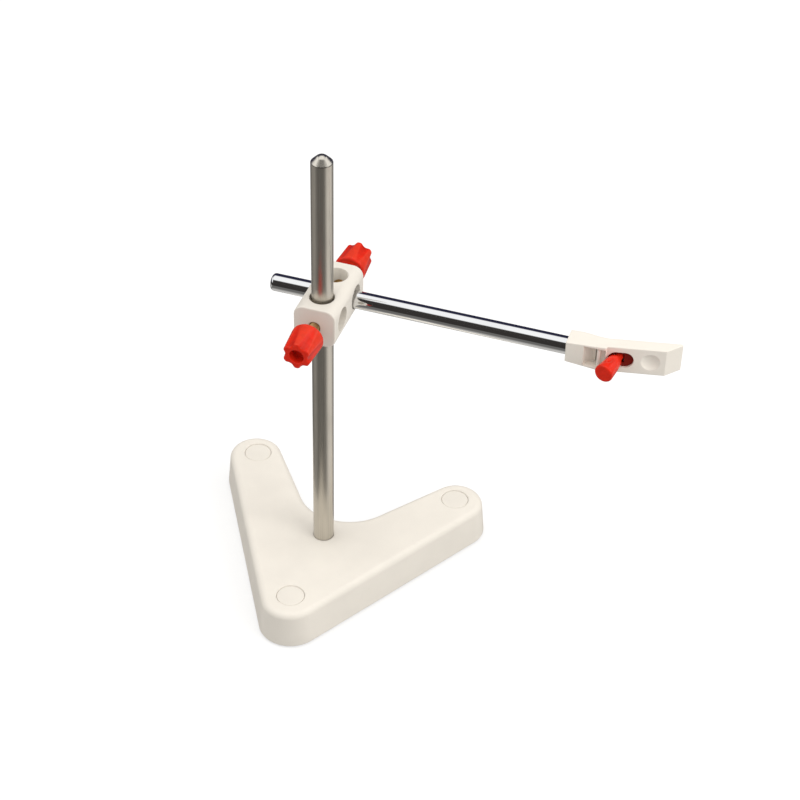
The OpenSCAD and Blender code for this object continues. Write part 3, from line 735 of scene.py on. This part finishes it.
class STAND_OT_base(bpy.types.Operator):
    """Build the moulded shell of the base"""
    bl_idname = "stand.base"
    bl_label = "Base shell"

    def execute(self, context):
        size = in_mm(context.scene.stand_base)
        plug_well, rod_well, rod_gap, rod_lip, rim_edge = 1.7, 4, 0.06, 0.2, 0.4
        foot, top = low("base_shell", 2), high("base_shell", 2)
        lean = (top - foot) * math.tan(size.draft)
        corners = [(size.rim_width, top - size.top_wall, 0), (size.rim_width, foot, rim_edge),
                   (0, foot, size.foot_radius), (lean, top, size.edge_radius),
                   (lean + 2 * size.edge_radius, top, 0)]
        turned = rounded([(-inset, z, fillet) for inset, z, fillet in corners], steps=10)[:-1]
        wall = base_wall(size, [(-r, h, -nr, nh) for r, h, nr, nh in turned])
        plug_r = half_size("plug_front", 0) + size.plug_gap
        rod_r = half_size("upright_rod", 0) + rod_gap
        holes = [(plan_place(node), plug_r, size.lip_radius, top - plug_well) for node in PLUGS]
        holes.append(((0, 0), rod_r, rod_lip, top - rod_well))
        wells = []
        for place, r, lip, floor in holes:
            corners = [(r + lip + 0.01, top, 0), (r, top, lip), (r, floor, 0), (0, floor, 0)]
            wells.append(lathe(corners, (*place, 0), UP))
        count = len(wall[0]) // len(turned)
        lid = sheet([wall[0][-count:]] + [points[:RING_STEPS] for points, _, _ in wells], 1)
        roof = sheet([wall[0][:count]], -1)
        marks = [(plan_place(node), plug_r) for node in PLUGS] + [((0, 0), rod_r + rod_lip)]
        coat = material("cream_base", moulded_cream, stand_colour("cream"), marks)
        shape = gather(wall, lid, roof, *wells)
        add_piece("base_moulding", shape, coat, "base", "base_shell")
        return {"FINISHED"}


class STAND_OT_plugs(bpy.types.Operator):
    """Build the three plugs in the base's top"""
    bl_idname = "stand.plugs"
    bl_label = "Base plugs"

    def execute(self, context):
        coat = material("plug_cream", moulded_cream, stand_colour("cream", 0.97))
        chamfer, edge_drop, shoulder, shoulder_rise, crown = 0.4, 0.12, 0.55, 0.02, 0.05
        for node in PLUGS:
            r, bottom, top = half_size(node, 0), low(node, 2), high(node, 2)
            corners = [(0, bottom, 0), (r - chamfer, bottom, 0.2), (r, bottom + chamfer, 0.2),
                       (r, top - edge_drop, 0.5), (r * shoulder, top + shoulder_rise, 2.0),
                       (0, top + crown, 0)]
            shape = lathe(corners, (*plan_place(node), 0), UP)
            add_piece(node.replace("plug", "disc"), shape, coat, "base", node)
        return {"FINISHED"}


class STAND_OT_underside(bpy.types.Operator):
    """Finish the ballast plate, the pad and the hidden fasteners of the base"""
    bl_idname = "stand.underside"
    bl_label = "Underside"

    def execute(self, context):
        paint(material("cast_ballast", cast_plate, stand_colour("iron")), "ballast_plate")
        paint(material("rubber_pad", rubber_sheet, stand_colour("rubber")), "anti_slip_pad")
        paint(zinc(), "shell_screws", "upright_washer", "upright_nut")
        return {"FINISHED"}


class STAND_OT_rods(bpy.types.Operator):
    """Build the upright and the cross arm"""
    bl_idname = "stand.rods"
    bl_label = "Rods"

    def execute(self, context):
        tip_slope, tip_round, tip_length, stub = math.radians(45), 4.4, 3.7, 4
        r = half_size("upright_rod", 0)
        bottom, shoulder = low("upright_rod", 2), high("ballast_plate", 2)
        foot = high("upright_rod", 2) - tip_length
        peak = foot + r * math.tan(tip_slope)
        corners = [(0, bottom, 0), (stub, bottom, 0.4), (stub, shoulder, 0), (r, shoulder, 0.3),
                   (r, foot, 1.0), (0, peak, tip_round), (-r, foot, 0)]
        steel = material("ground_steel", ground_steel, stand_colour("steel"), foot)
        shape = lathe(corners, (0, 0, 0), UP, steps=128, fillet_steps=16)
        add_piece("upright_bar", shape, steel, "upright", "upright_rod")
        r, tail, end = half_size("cross_arm", 2), low("cross_arm", 0), high("cross_arm", 0)
        corners = [(0, tail, 0), (r, tail, 2), (r, end, 1.2), (0, end, 0)]
        chrome = material("chrome_plate", plated_chrome, stand_colour("chrome"))
        origin = (0, middle("cross_arm", 1), middle("cross_arm", 2))
        shape = lathe(corners, origin, (1, 0, 0), steps=128, fillet_steps=10)
        add_piece("arm_bar", shape, chrome, "arm", "cross_arm")
        return {"FINISHED"}


class STAND_OT_head(bpy.types.Operator):
    """Build the boss head and its brass bushes"""
    bl_idname = "stand.head"
    bl_label = "Boss head"

    def execute(self, context):
        size = in_mm(context.scene.stand_head)
        y0, y1 = low("boss_block", 1), high("boss_block", 1)
        half, z0 = half_size("boss_block", 0), middle("boss_block", 2)
        bush_seat, end_lip, screw_hole, screw_depth = 4.03, 1.2, 3.3, 12

        def head(x, y, z):
            solid = both(block(x, z - z0, half, half, size.corner), between(y, y0, y1), size.end_edge)
            for station in (y0 + size.station_end, y1 - size.station_end):
                bores = np.minimum(np.hypot(x, y - station), np.hypot(y - station, z - z0)) - size.hole
                solid = without(solid, bores, size.hole_edge)
            r, from_end = np.hypot(x, z - z0), np.minimum(y - y0, y1 - y)
            screw_way = np.minimum(np.maximum(r - bush_seat, end_lip - from_end), r - screw_hole)
            return without(solid, np.maximum(screw_way, from_end - screw_depth), 0.2)

        shape = skin(head, (-half, y0, z0 - half), (half, y1, z0 + half), step=0.5)
        add_piece("boss_moulding", shape, cream(), "boss", "boss_block")
        bore, mouth = 3.06, 3.4
        for node in ("front_bush", "rear_bush"):
            r, start, end = half_size(node, 0), low(node, 1), high(node, 1)
            corners = [(bore, start, 0), (mouth, start, 0.1), (r, start, 0.3), (r, end, 0.3),
                       (bore, end, 0.25), (bore, start, 0)]
            shape = lathe(corners, (0, 0, z0), (0, 1, 0), steps=64, fillet_steps=4)
            add_piece(node.replace("bush", "bushing"), shape, brass(), "boss", node)
        return {"FINISHED"}


def thread(tall, r, pitch, depth, tip, origin, way):
    """A screw along an axis: a chamfered tip, then a thread as a wave round the shank."""
    around, per_turn, steep, crest = 36, 8, 1.25, 0.12
    along = max(per_turn, int(tall / pitch * per_turn))
    axis = Vector(way)
    side = axis.orthogonal().normalized()
    across = axis.cross(side)
    points = []
    for k in range(along + 1):
        h = tall * k / along
        for i in range(around):
            turn = 2 * math.pi * i / around
            wave = abs(math.remainder(h / pitch - i / around, 1.0)) * 2
            radius = r - depth * min(1.0, max(0.0, wave * steep - crest))
            out = side * math.cos(turn) + across * math.sin(turn)
            points.append(Vector(origin) + axis * h + out * min(radius, r - tip + h))
    ends = [list(range(around))[::-1], list(range(along * around, (along + 1) * around))]
    return points, bands(around, range(along)) + ends, None


class STAND_OT_clamps(bpy.types.Operator):
    """Build the threaded clamp screws and the fluted knobs"""
    bl_idname = "stand.clamps"
    bl_label = "Clamp screws and knobs"

    def execute(self, context):
        size = in_mm(context.scene.stand_head)
        tip_chamfer = 1.2
        for side, way in (("front", -1), ("rear", 1)):
            screw = side + "_screw"
            z0 = middle(screw, 2)
            ends = (low(screw, 1), high(screw, 1))
            tip, tail = ends[::way]
            shape = thread(abs(tail - tip), half_size(screw, 0), size.thread_pitch, size.thread_depth,
                           tip_chamfer, (0, tip, z0), (0, way, 0))
            add_piece(side + "_clamp_screw", shape, brass(), side + "_clamp", screw)
            self.knob(size, side + "_knob", side, way, z0)
        return {"FINISHED"}

    def knob(self, size, node, side, way, z0):
        """A fluted knob with its rim towards the boss head and a recess in its outer end."""
        bore, bore_depth, crest_round = 3.07, 8.8, 1.2
        rim = high(node, 1) if way < 0 else low(node, 1)
        tall = high(node, 1) - low(node, 1)
        wide = half_size(node, 0) + size.knob_fullness
        edge, rim_h, flute = size.knob_edge, size.knob_rim, size.flute_radius
        axis = size.knob_end + flute - size.flute_depth
        lean = math.atan((wide + flute - axis) / size.flute_length)
        slope = (wide - size.knob_end) / (tall - rim_h)

        def grip(x, y, z):
            h, r = (y - rim) * way, np.hypot(x, z - z0)
            out, across = folded(x, z - z0, size.flutes)
            wall = np.maximum(r - wide, (r - wide + slope * (h - rim_h)) * math.cos(slope))
            solid = both(both(wall, h - tall, edge), -h, 1.6 * edge)
            off = (out - axis) * math.cos(lean) + (h - tall) * math.sin(lean)
            solid = without(solid, np.hypot(off, across) - flute, crest_round)
            recess = np.maximum(r - size.recess_radius, tall - size.recess_depth - h)
            solid = without(solid, recess, 0.35)
            return without(solid, np.maximum(r - bore, h - bore_depth), 0.2)

        near, far = sorted((rim, rim + way * tall))
        shape = skin(grip, (-wide, near, z0 - wide), (wide, far, z0 + wide), step=0.4)
        centre = middle("boss_block", 1)
        flutes = (centre, z0, abs(rim - centre), tall, wide + slope * rim_h, slope, size.flute_depth)
        coat = material(side + "_knob_red", moulded_red, stand_colour("red"), flutes)
        add_piece(side + "_grip_knob", shape, coat, side + "_grip", node)


def plate_ways(size):
    """The plate's left end, its direction along and its direction inwards, seen from above."""
    x = low("holder_body", 0) + size.neck_length
    y = middle("cross_arm", 1) - size.neck_depth / 2 + size.plate_step
    along = np.array([math.cos(size.plate_bend), math.sin(size.plate_bend)])
    return np.array([x, y]), along, np.array([-along[1], along[0]])


def holder_works(size):
    """Places of the lever's works along the plate and into it, in millimetres."""
    slack, bend = 0.1, size.plate_bend
    reach = size.seat_radius + size.step_width
    seat_s = -reach * math.cos(bend) - size.plate_step * math.sin(bend)
    seat_d = reach * math.sin(bend) - size.plate_step * math.cos(bend)
    edge = seat_s + math.sqrt(size.seat_radius ** 2 - (size.front_wall - seat_d) ** 2)
    back = size.plate_depth - size.cover_depth
    front = size.front_wall + slack
    slider = front + size.slider_depth
    pivot = (back + slider) / 2
    travel = (2 * pivot - front - slider) * math.tan(size.lever_lean)
    jaw = edge - travel - slack
    jaw_front = jaw - size.jaw_width
    slider_end = size.pivot_at + size.slot_length / 2 + 0.3
    room = slider_end + size.spring_room
    return SimpleNamespace(
        jaw_front=jaw_front, jaw_back=jaw, jaw_tail=edge + 0.5, slider_front=front, slider_back=slider,
        slider_end=slider_end, pivot=pivot, back=back, travel=travel, neck=2.4,
        hollow_start=jaw_front - 0.3, hollow_end=room, cover_start=jaw_front - 1.1, cover_end=room + 5,
        cover_half=size.seat_height / 2 + 0.8)


def plate_axes(size, x, y, z):
    """Points in the plate's own directions: along it (s), into it (d) and up (w)."""
    at, along, inward = plate_ways(size)
    dx, dy = x - at[0], y - at[1]
    return dx * along[0] + dy * along[1], dx * inward[0] + dy * inward[1], z - middle("cross_arm", 2)


def plate_point(size, s, d):
    """A place at the plate's middle height, in the stand's frame."""
    at, along, inward = plate_ways(size)
    x, y = at + s * along + d * inward
    return Vector((x, y, middle("cross_arm", 2)))


def node_skin(node, field, step, margin=0.0):
    """A field's surface over a CAD node's box, which may grow by a margin."""
    lowest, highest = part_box(node)
    return skin(field, [v / MM - margin for v in lowest], [v / MM + margin for v in highest], step)


class STAND_OT_holder(bpy.types.Operator):
    """Build the holder: its moulding, rear cover and screws"""
    bl_idname = "stand.holder"
    bl_label = "Holder"

    def execute(self, context):
        size = in_mm(context.scene.stand_holder)
        works, plan = holder_works(size), self.plan(size)
        self.moulding(size, works, plan)
        self.cover(size, works, plan)
        self.grub_screw()
        return {"FINISHED"}

    def plan(self, size):
        """The holder's outline from above: its front, slanted end, sloping back and neck."""
        at, along, inward = plate_ways(size)
        nape_gap, slope_points = 1.4, 10
        x0, arm_y = low("holder_body", 0), middle("cross_arm", 1)
        front, back = arm_y - size.neck_depth / 2, arm_y + size.neck_depth / 2
        tip, slanted = size.plate_length, size.plate_depth - size.end_flat
        end = tip + slanted * size.end_slant
        plan = [(x0, front), (at[0] - size.step_width, front), at, at + tip * along,
                at + end * along + slanted * inward, at + end * along + size.plate_depth * inward]
        heel = at + size.heel_at * along + size.plate_depth * inward
        nape = np.array((high("cross_arm", 0) - nape_gap, back))
        reach = np.linalg.norm(nape - heel)
        for t in np.linspace(0, 1, slope_points):
            ease = t * t * (3 - 2 * t)
            lead, tail = t * (1 - t) ** 2 * reach, t * t * (1 - t) * reach
            plan.append(heel * (1 - ease) + nape * ease - lead * along + tail * np.array((1, 0)))
        return plan + [(x0, back)]

    def moulding(self, size, works, plan):
        """The neck and plate, with the seat, the lever's slot, the dimple and the room for the works."""
        left = plate_ways(size)[0][0]
        x0, arm_y, arm_end = low("holder_body", 0), middle("cross_arm", 1), high("cross_arm", 0)
        arm_hole, arm_gap, past_wall = 5.05, 0.3, 0.5
        neck_h, plate_h, seat_h = size.neck_height / 2, size.plate_height / 2, size.seat_height / 2
        far, flare_end = left + 2 * size.plate_length, left + 1
        side = [(x0, -neck_h), (flare_end, -plate_h), (far, -plate_h),
                (far, plate_h), (flare_end, plate_h), (x0, neck_h)]
        seat_x, seat_y = left - size.seat_radius - size.step_width, arm_y - size.neck_depth / 2
        slot_h = size.slot_height / 2
        ball = (size.dimple_radius ** 2 + size.dimple_depth ** 2) / (2 * size.dimple_depth)

        def body(x, y, z):
            s, d, w = plate_axes(size, x, y, z)
            solid = both(outline(x, y, plan, size.edge), outline(x, w, side), size.edge)
            seat = np.maximum(np.hypot(x - seat_x, y - seat_y) - size.seat_radius, abs(w) - seat_h)
            solid = without(solid, seat, 0.25)
            hollow = np.maximum(between(s, works.hollow_start, works.hollow_end), abs(w) - seat_h)
            pocket = np.maximum(between(s, works.cover_start, works.cover_end), abs(w) - works.cover_half)
            room = np.minimum(np.maximum(hollow, size.front_wall - d), np.maximum(pocket, works.back - d))
            solid = without(solid, room)
            slot = block(s - size.pivot_at, w, size.slot_length / 2, slot_h, slot_h - 0.01)
            solid = without(solid, np.maximum(slot, d - size.front_wall - past_wall), 0.3)
            from_ball = np.sqrt((s - size.dimple_at) ** 2 + (d + ball - size.dimple_depth) ** 2 + w ** 2)
            solid = without(solid, from_ball - ball, 0.12)
            bore = np.maximum(np.hypot(y - arm_y, w) - arm_hole, x - arm_end - arm_gap)
            return without(solid, bore, 0.2)

        shape = node_skin("holder_body", body, step=0.4)
        add_piece("holder_moulding", shape, pale_cream(), "holder", "holder_body")

    def cover(self, size, works, plan):
        """The cover let into the back, and its two cross-headed screws."""
        slack, screw_hole, screw_in, screw_down = 0.05, 1.05, 2.5, 2.3
        head_r, head_h, cross_half, cross_wide, cross_floor, shank_end = 1.9, 0.8, 1.15, 0.22, 0.3, 4.4
        outside = size.plate_depth
        screw_s, screw_w = works.hollow_end + screw_in, works.cover_half - screw_down

        def lid(x, y, z):
            s, d, w = plate_axes(size, x, y, z)
            solid = np.maximum(between(s, works.cover_start + slack, works.cover_end - slack),
                               abs(w) - works.cover_half + slack)
            solid = both(solid, np.maximum(works.back - d, outline(x, y, plan)), 0.25)
            return without(solid, np.hypot(s - screw_s, abs(w) - screw_w) - screw_hole, 0.1)

        def screws(x, y, z):
            s, d, w = plate_axes(size, x, y, z)
            ds, dw = s - screw_s, abs(w) - screw_w
            r = np.hypot(ds, dw)
            head = both(r - head_r, between(d, outside, outside + head_h), 0.35)
            cross = np.minimum(block(ds, dw, cross_half, cross_wide), block(ds, dw, cross_wide, cross_half))
            cross = np.maximum(cross, outside + cross_floor - d)
            shank = np.maximum(r - 1, between(d, outside - shank_end, outside + cross_floor))
            return np.minimum(without(head, cross, 0.06), shank)

        shape = node_skin("holder_cover", lid, step=0.4, margin=2.0)
        add_piece("cover_plate", shape, pale_cream(), "holder", "holder_cover")
        shape = node_skin("cover_screws", screws, step=0.16)
        add_piece("cover_screw_pair", shape, zinc(), "holder", "cover_screws")

    def grub_screw(self):
        """The socket screw that holds the neck on the arm."""
        node, radius, key_half, key_depth = "neck_grub_screw", 1.5, 0.75, 0.7
        start, end = low(node, 1), high(node, 1)

        def grub(x, y, z):
            u, w = x - middle(node, 0), z - middle("cross_arm", 2)
            solid = both(np.hypot(u, w) - radius, between(y, start, end), 0.15)
            key = np.maximum(folded(u, w, 6)[0] - key_half, end - key_depth - y)
            return without(solid, key, 0.05)

        shape = node_skin(node, grub, step=0.12)
        add_piece("grub_screw", shape, zinc(), "holder", node)


class STAND_OT_jaw(bpy.types.Operator):
    """Build the jaw, its slider and its spring"""
    bl_idname = "stand.jaw"
    bl_label = "Jaw"

    def execute(self, context):
        size = in_mm(context.scene.stand_holder)
        works = holder_works(size)
        front, back, end = works.slider_front, works.slider_back, works.slider_end
        slack, window_slack = 0.3, 0.16
        tall, lean = size.seat_height / 2 - slack, size.lever_lean
        window = size.pivot_at - works.travel / 2
        window_half = works.neck / math.cos(lean) + (back - front) / 2 * math.tan(lean) + window_slack
        jaw_near, jaw_far, tail_root = 0.3, back + 2, works.jaw_back - 0.9
        past_end, tab_long, tab_half = 1, 1.2, 2.5

        def jaw(x, y, z):
            s, d, w = plate_axes(size, x, y, z)
            head = block(s - (works.jaw_front + works.jaw_back) / 2, d - (jaw_near + jaw_far) / 2,
                         (works.jaw_back - works.jaw_front) / 2, (jaw_far - jaw_near) / 2, 0.7)
            tail = np.maximum(between(s, tail_root, works.jaw_tail), between(d, front, back))
            return both(either(head, tail, 0.2), abs(w) - tall, 0.35)

        def slider(x, y, z):
            s, d, w = plate_axes(size, x, y, z)
            plate = both(between(s, works.jaw_tail, end + past_end), abs(w) - tall, 0.4)
            plate = both(plate, between(d, front, back), 0.2)
            plate = without(plate, block(s - window, w, window_half, works.neck + slack, 0.2), 0.15)
            tab = both(between(s, end - tab_long, end), abs(w) - tab_half, 0.2)
            tab = both(tab, between(d, (front + back) / 2, works.back - slack), 0.2)
            return either(plate, tab, 0.2)

        dark_red = material("slider_red", moulded_red, stand_colour("red", 0.3))
        shape = node_skin("jaw_pad", jaw, step=0.3)
        add_piece("jaw_bar", shape, cream(), "jaw", "jaw_pad")
        shape = node_skin("jaw_slider", slider, step=0.3)
        add_piece("slider_plate", shape, dark_red, "jaw", "jaw_slider")
        self.spring(size, works)
        return {"FINISHED"}

    def spring(self, size, works):
        """The coil behind the slider, which shortens as the jaw draws back."""
        turns, around, sides, gap, shut_gap = 4, 28, 12, 0.05, 0.15
        wire = size.spring_wire / 2
        coil = size.spring_radius - wire
        start, end = works.slider_end + gap + wire, works.hollow_end - gap - wire
        along = plate_point(size, 1, 0) - plate_point(size, 0, 0)
        inward = plate_point(size, 0, 1) - plate_point(size, 0, 0)
        points, normals = [], []
        count = turns * around
        for k in range(count + 1):
            turn = 2 * math.pi * k / around
            out = inward * math.cos(turn) + Vector((0, 0, math.sin(turn)))
            centre = plate_point(size, start + (end - start) * (k / count), works.pivot) + out * coil
            for i in range(sides):
                roll = 2 * math.pi * i / sides
                normal = out * math.cos(roll) + along * math.sin(roll)
                points.append(centre + normal * wire)
                normals.append(normal)
        faces = [[a, d, c, b] for a, b, c, d in bands(sides, range(count))]
        faces += [list(range(sides)), list(range(count * sides, (count + 1) * sides))[::-1]]
        shape = (points, faces, normals)
        piece = add_piece("closing_spring", shape, zinc(), "holder", "jaw_spring")
        anchor = plate_point(size, works.hollow_end, works.pivot) * MM
        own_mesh(piece)


class STAND_OT_lever(bpy.types.Operator):
    """Build the red lever and the pin that it turns on"""
    bl_idname = "stand.lever"
    bl_label = "Lever"

    def execute(self, context):
        size = in_mm(context.scene.stand_holder)
        works = holder_works(size)
        pivot_s, pivot_d, lean = size.pivot_at, works.pivot, size.lever_lean
        end, root, foot, tip = size.lever_end, size.lever_root, size.lever_foot, size.lever_length
        waist, flare_long, cone_start = (2 * root + end) / 3, 2, 3.2
        slope, flare = (end - waist) / (tip - cone_start - foot), (waist - root) / flare_long
        mark_u, mark_w, mark_long, mark_wide, mark_deep = 12.5, 4.6, 2.7, 1.5, 0.75
        neck_lap, hub_r, hub_half, pin_hole = 1, 1.6, 4.4, 1.05

        def handle(x, y, z):
            s, d, w = plate_axes(size, x, y, z)
            u = (pivot_d - d) * math.cos(lean) + (pivot_s - s) * math.sin(lean)
            v = (s - pivot_s) * math.cos(lean) + (pivot_d - d) * math.sin(lean)
            r = np.hypot(v, w)
            cone = (r - waist - slope * (u - foot - flare_long)) * math.cos(slope)
            grip = both(cone, (r - root - flare * (u - foot)) * math.cos(flare), 0.6)
            grip = both(both(grip, u - tip, 1.1), foot - u, 0.4)
            mark = np.sqrt(((u - mark_u) / mark_long) ** 2 + (v / mark_wide) ** 2
                           + ((abs(w) - mark_w) / mark_deep) ** 2) - 1
            grip = without(grip, mark * mark_deep, 0.25)
            neck = np.maximum(r - works.neck, np.maximum(u - foot - neck_lap, -u))
            hub = np.maximum(np.hypot(u, v) - hub_r, abs(w) - hub_half)
            solid = either(grip, either(neck, hub), 0.3)
            return without(solid, np.hypot(u, v) - pin_hole)

        shape = node_skin("clamp_lever", handle, step=0.35)
        add_piece("lever_grip", shape, red(), "lever", "clamp_lever")
        bottom, top, pin_r = low("lever_pin", 2), high("lever_pin", 2), 1
        corners = [(0, bottom, 0), (pin_r, bottom, 0.25), (pin_r, top, 0.2), (0, top, 0)]
        place = plate_point(size, pivot_s, pivot_d)
        shape = lathe(corners, (place.x, place.y, 0), UP, steps=48)
        add_piece("pivot_pin", shape, zinc(), "holder", "lever_pin")
        return {"FINISHED"}


class STAND_OT_stage(bpy.types.Operator):
    """Build the floor, the light and the camera"""
    bl_idname = "stand.stage"
    bl_label = "Stage"
    # Each soft light's way, to the camera's right, nearer to it and up, and its strength
    LIGHT = ((0, 0, 1, 0.87), (0.894, 0, 0.447, 0.62), (-0.928, 0, 0.371, 1.25),
             (0, -0.928, 0.371, 0.2), (0.811, 0.487, 0.324, 0.56))
    # The way to the camera's right, seen from above
    RIGHT = (0.9525, 0.3045)
    EYE = (0.3169, -0.8494, 0.8649)
    VIEW = (-0.2361, 0.7387, -0.6314)
    ROLL = math.radians(1.43)
    # Sensor width and focal length, in millimetres
    SENSOR = 36.0
    FOCUS = 2078.45 / 800 * SENSOR

    def execute(self, context):
        scene = context.scene
        self.world(scene)
        self.floor(scene)
        self.lamp(scene)
        self.camera(scene)
        scene.view_settings.view_transform = "Standard"
        return {"FINISHED"}

    def world(self, scene):
        """White to the camera, a room with a pale table to the metal, and soft light to the rest."""
        world = bpy.data.worlds.new("studio")
        scene.world = world
        tree = Tree(world)
        rays = tree.add("ShaderNodeLightPath").socket.node.outputs
        seen = Wire(tree, rays["Is Camera Ray"])
        shine = Wire(tree, rays["Is Glossy Ray"])
        x, y, up = tree.axes(tree.add("ShaderNodeTexCoord", out=0))
        near = x * self.RIGHT[1] - y * self.RIGHT[0]
        right = x * self.RIGHT[0] + y * self.RIGHT[1]
        ahead = near.step(0.30, 0.48)
        over = up.step(0.72, 0.84) * (1 - ahead) + up.step(0.85, 0.92) * ahead
        over = over.at_least(abs(right).step(0.55, 0.7) * up.step(0.25, 0.45))
        below = (0 - up).step(0.17, 0.33)
        table = 0.15 + right.step(0.38, 0.7) * 0.8 * (1 - (0 - near).step(0.25, 0.55) * 0.8)
        table = table + (0 - right).step(0.68, 0.78) * 0.26 + (0 - up).step(0.64, 1.0) * 0.42
        dark = tree.blend(near.step(-0.4, 0.2), (0.022, 0.022, 0.05), (0.035, 0.032, 0.03))
        room = tree.blend(below, dark, tree.blend(table.at_most(1.0), (0, 0, 0), (1.0, 0.97, 0.93)))
        room = tree.blend(over.at_most(1.0), room, (1, 1, 1))
        soft = 0.0
        for side, front, rise, level in self.LIGHT:
            lobe = (right * side + near * front + up * rise).at_least(0.0)
            soft = lobe * lobe * level + soft
        plain = tree.add("ShaderNodeBackground", {"Color": (1.0, 0.99, 0.97), "Strength": soft})
        shown = tree.add("ShaderNodeBackground", {"Color": (1, 1, 1), "Strength": 1.0})
        mirror = tree.add("ShaderNodeBackground", {"Color": room, "Strength": 1.0})
        light = tree.add("ShaderNodeMixShader", {0: shine, 1: plain, 2: mirror})
        sky = tree.add("ShaderNodeMixShader", {0: seen, 1: light, 2: shown})
        tree.add("ShaderNodeOutputWorld", {0: sky})

    def floor(self, scene):
        """A pale floor that keeps the shadow and is lifted to white for the camera."""
        coat, tree = finish("pale_floor")
        seen = Wire(tree, tree.add("ShaderNodeLightPath").socket.node.outputs["Is Camera Ray"])
        grain = tree.noise(tree.place((0.02, 0.02, 0.02)), 1.0, 2.0)
        tone = tree.blend(grain, (0.42, 0.42, 0.42), (0.44, 0.44, 0.44))
        matt = tree.add("ShaderNodeBsdfDiffuse", {"Color": tone})
        lift = tree.add("ShaderNodeEmission", {"Color": (1, 1, 1), "Strength": 0.6})
        lifted = tree.add("ShaderNodeAddShader", {0: matt, 1: lift})
        shader = tree.add("ShaderNodeMixShader", {0: seen, 1: matt, 2: lifted})
        tree.add("ShaderNodeOutputMaterial", {0: shader})
        mesh = bpy.data.meshes.new("floor")
        reach = 4.0
        corners = [(-reach, -reach, 0), (reach, -reach, 0), (reach, reach, 0), (-reach, reach, 0)]
        mesh.from_pydata(corners, [], [[0, 1, 2, 3]])
        mesh.materials.append(coat)
        floor = bpy.data.objects.new("floor", mesh)
        floor.visible_glossy = False
        scene.collection.objects.link(floor)

    def lamp(self, scene):
        """A broad key lamp on the right, aimed between the upright and the arm."""
        place, aim = Vector((1.2, -0.35, 0.85)), Vector((0.05, 0, 0.12))
        data = bpy.data.lights.new("key", "AREA")
        data.shape = "SQUARE"
        data.size = 0.8
        data.energy = 5.5
        data.color = (1.0, 0.985, 0.96)
        lamp = bpy.data.objects.new("key", data)
        lamp.location = place
        lamp.rotation_euler = (aim - place).to_track_quat("-Z", "Y").to_euler()
        lamp.visible_glossy = False
        scene.collection.objects.link(lamp)

    def camera(self, scene):
        """A long lens from above and in front, with a slight roll."""
        data = bpy.data.cameras.new("camera")
        data.sensor_width = self.SENSOR
        data.lens = self.FOCUS
        data.clip_start = 0.01
        data.clip_end = 50
        camera = bpy.data.objects.new("camera", data)
        forward = Vector(self.VIEW).normalized()
        right = forward.cross(Vector(UP)).normalized()
        up = right.cross(forward)
        turned = right * math.cos(self.ROLL) + up * math.sin(self.ROLL)
        rise = up * math.cos(self.ROLL) - right * math.sin(self.ROLL)
        facing = Matrix((turned, rise, -forward)).transposed().to_4x4()
        camera.matrix_world = Matrix.Translation(self.EYE) @ facing
        scene.collection.objects.link(camera)
        scene.camera = camera


class STAND_PT_panel(bpy.types.Panel):
    """Lists the pieces of the retort stand"""
    bl_idname = "STAND_PT_panel"
    bl_label = "Retort stand"
    bl_space_type = "VIEW_3D"
    bl_region_type = "UI"
    bl_category = "Retort stand"

    def draw(self, context):
        for operator in OPERATORS:
            self.layout.operator(operator.bl_idname)
        for group in GROUPS:
            for key in GROUPS[group].__annotations__:
                self.layout.prop(getattr(context.scene, group), key)


OPERATORS = (STAND_OT_base, STAND_OT_plugs, STAND_OT_underside, STAND_OT_rods, STAND_OT_head,
             STAND_OT_clamps, STAND_OT_holder, STAND_OT_jaw, STAND_OT_lever, STAND_OT_stage)
GROUPS = {"stand_base": BaseSizes, "stand_head": HeadSizes, "stand_holder": HolderSizes,
          "stand_colours": StandColours}


def register():
    for cls in (*GROUPS.values(), *OPERATORS, STAND_PT_panel):
        bpy.utils.register_class(cls)
    for name, group in GROUPS.items():
        setattr(bpy.types.Scene, name, PointerProperty(type=group))


def unregister():
    for name in GROUPS:
        delattr(bpy.types.Scene, name)
    for cls in (STAND_PT_panel, *reversed(OPERATORS), *reversed(tuple(GROUPS.values()))):
        bpy.utils.unregister_class(cls)


def main():
    register()
    for operator in OPERATORS:
        group, name = operator.bl_idname.split(".")
        getattr(getattr(bpy.ops, group), name)()


if __name__ == "__main__":
    main()
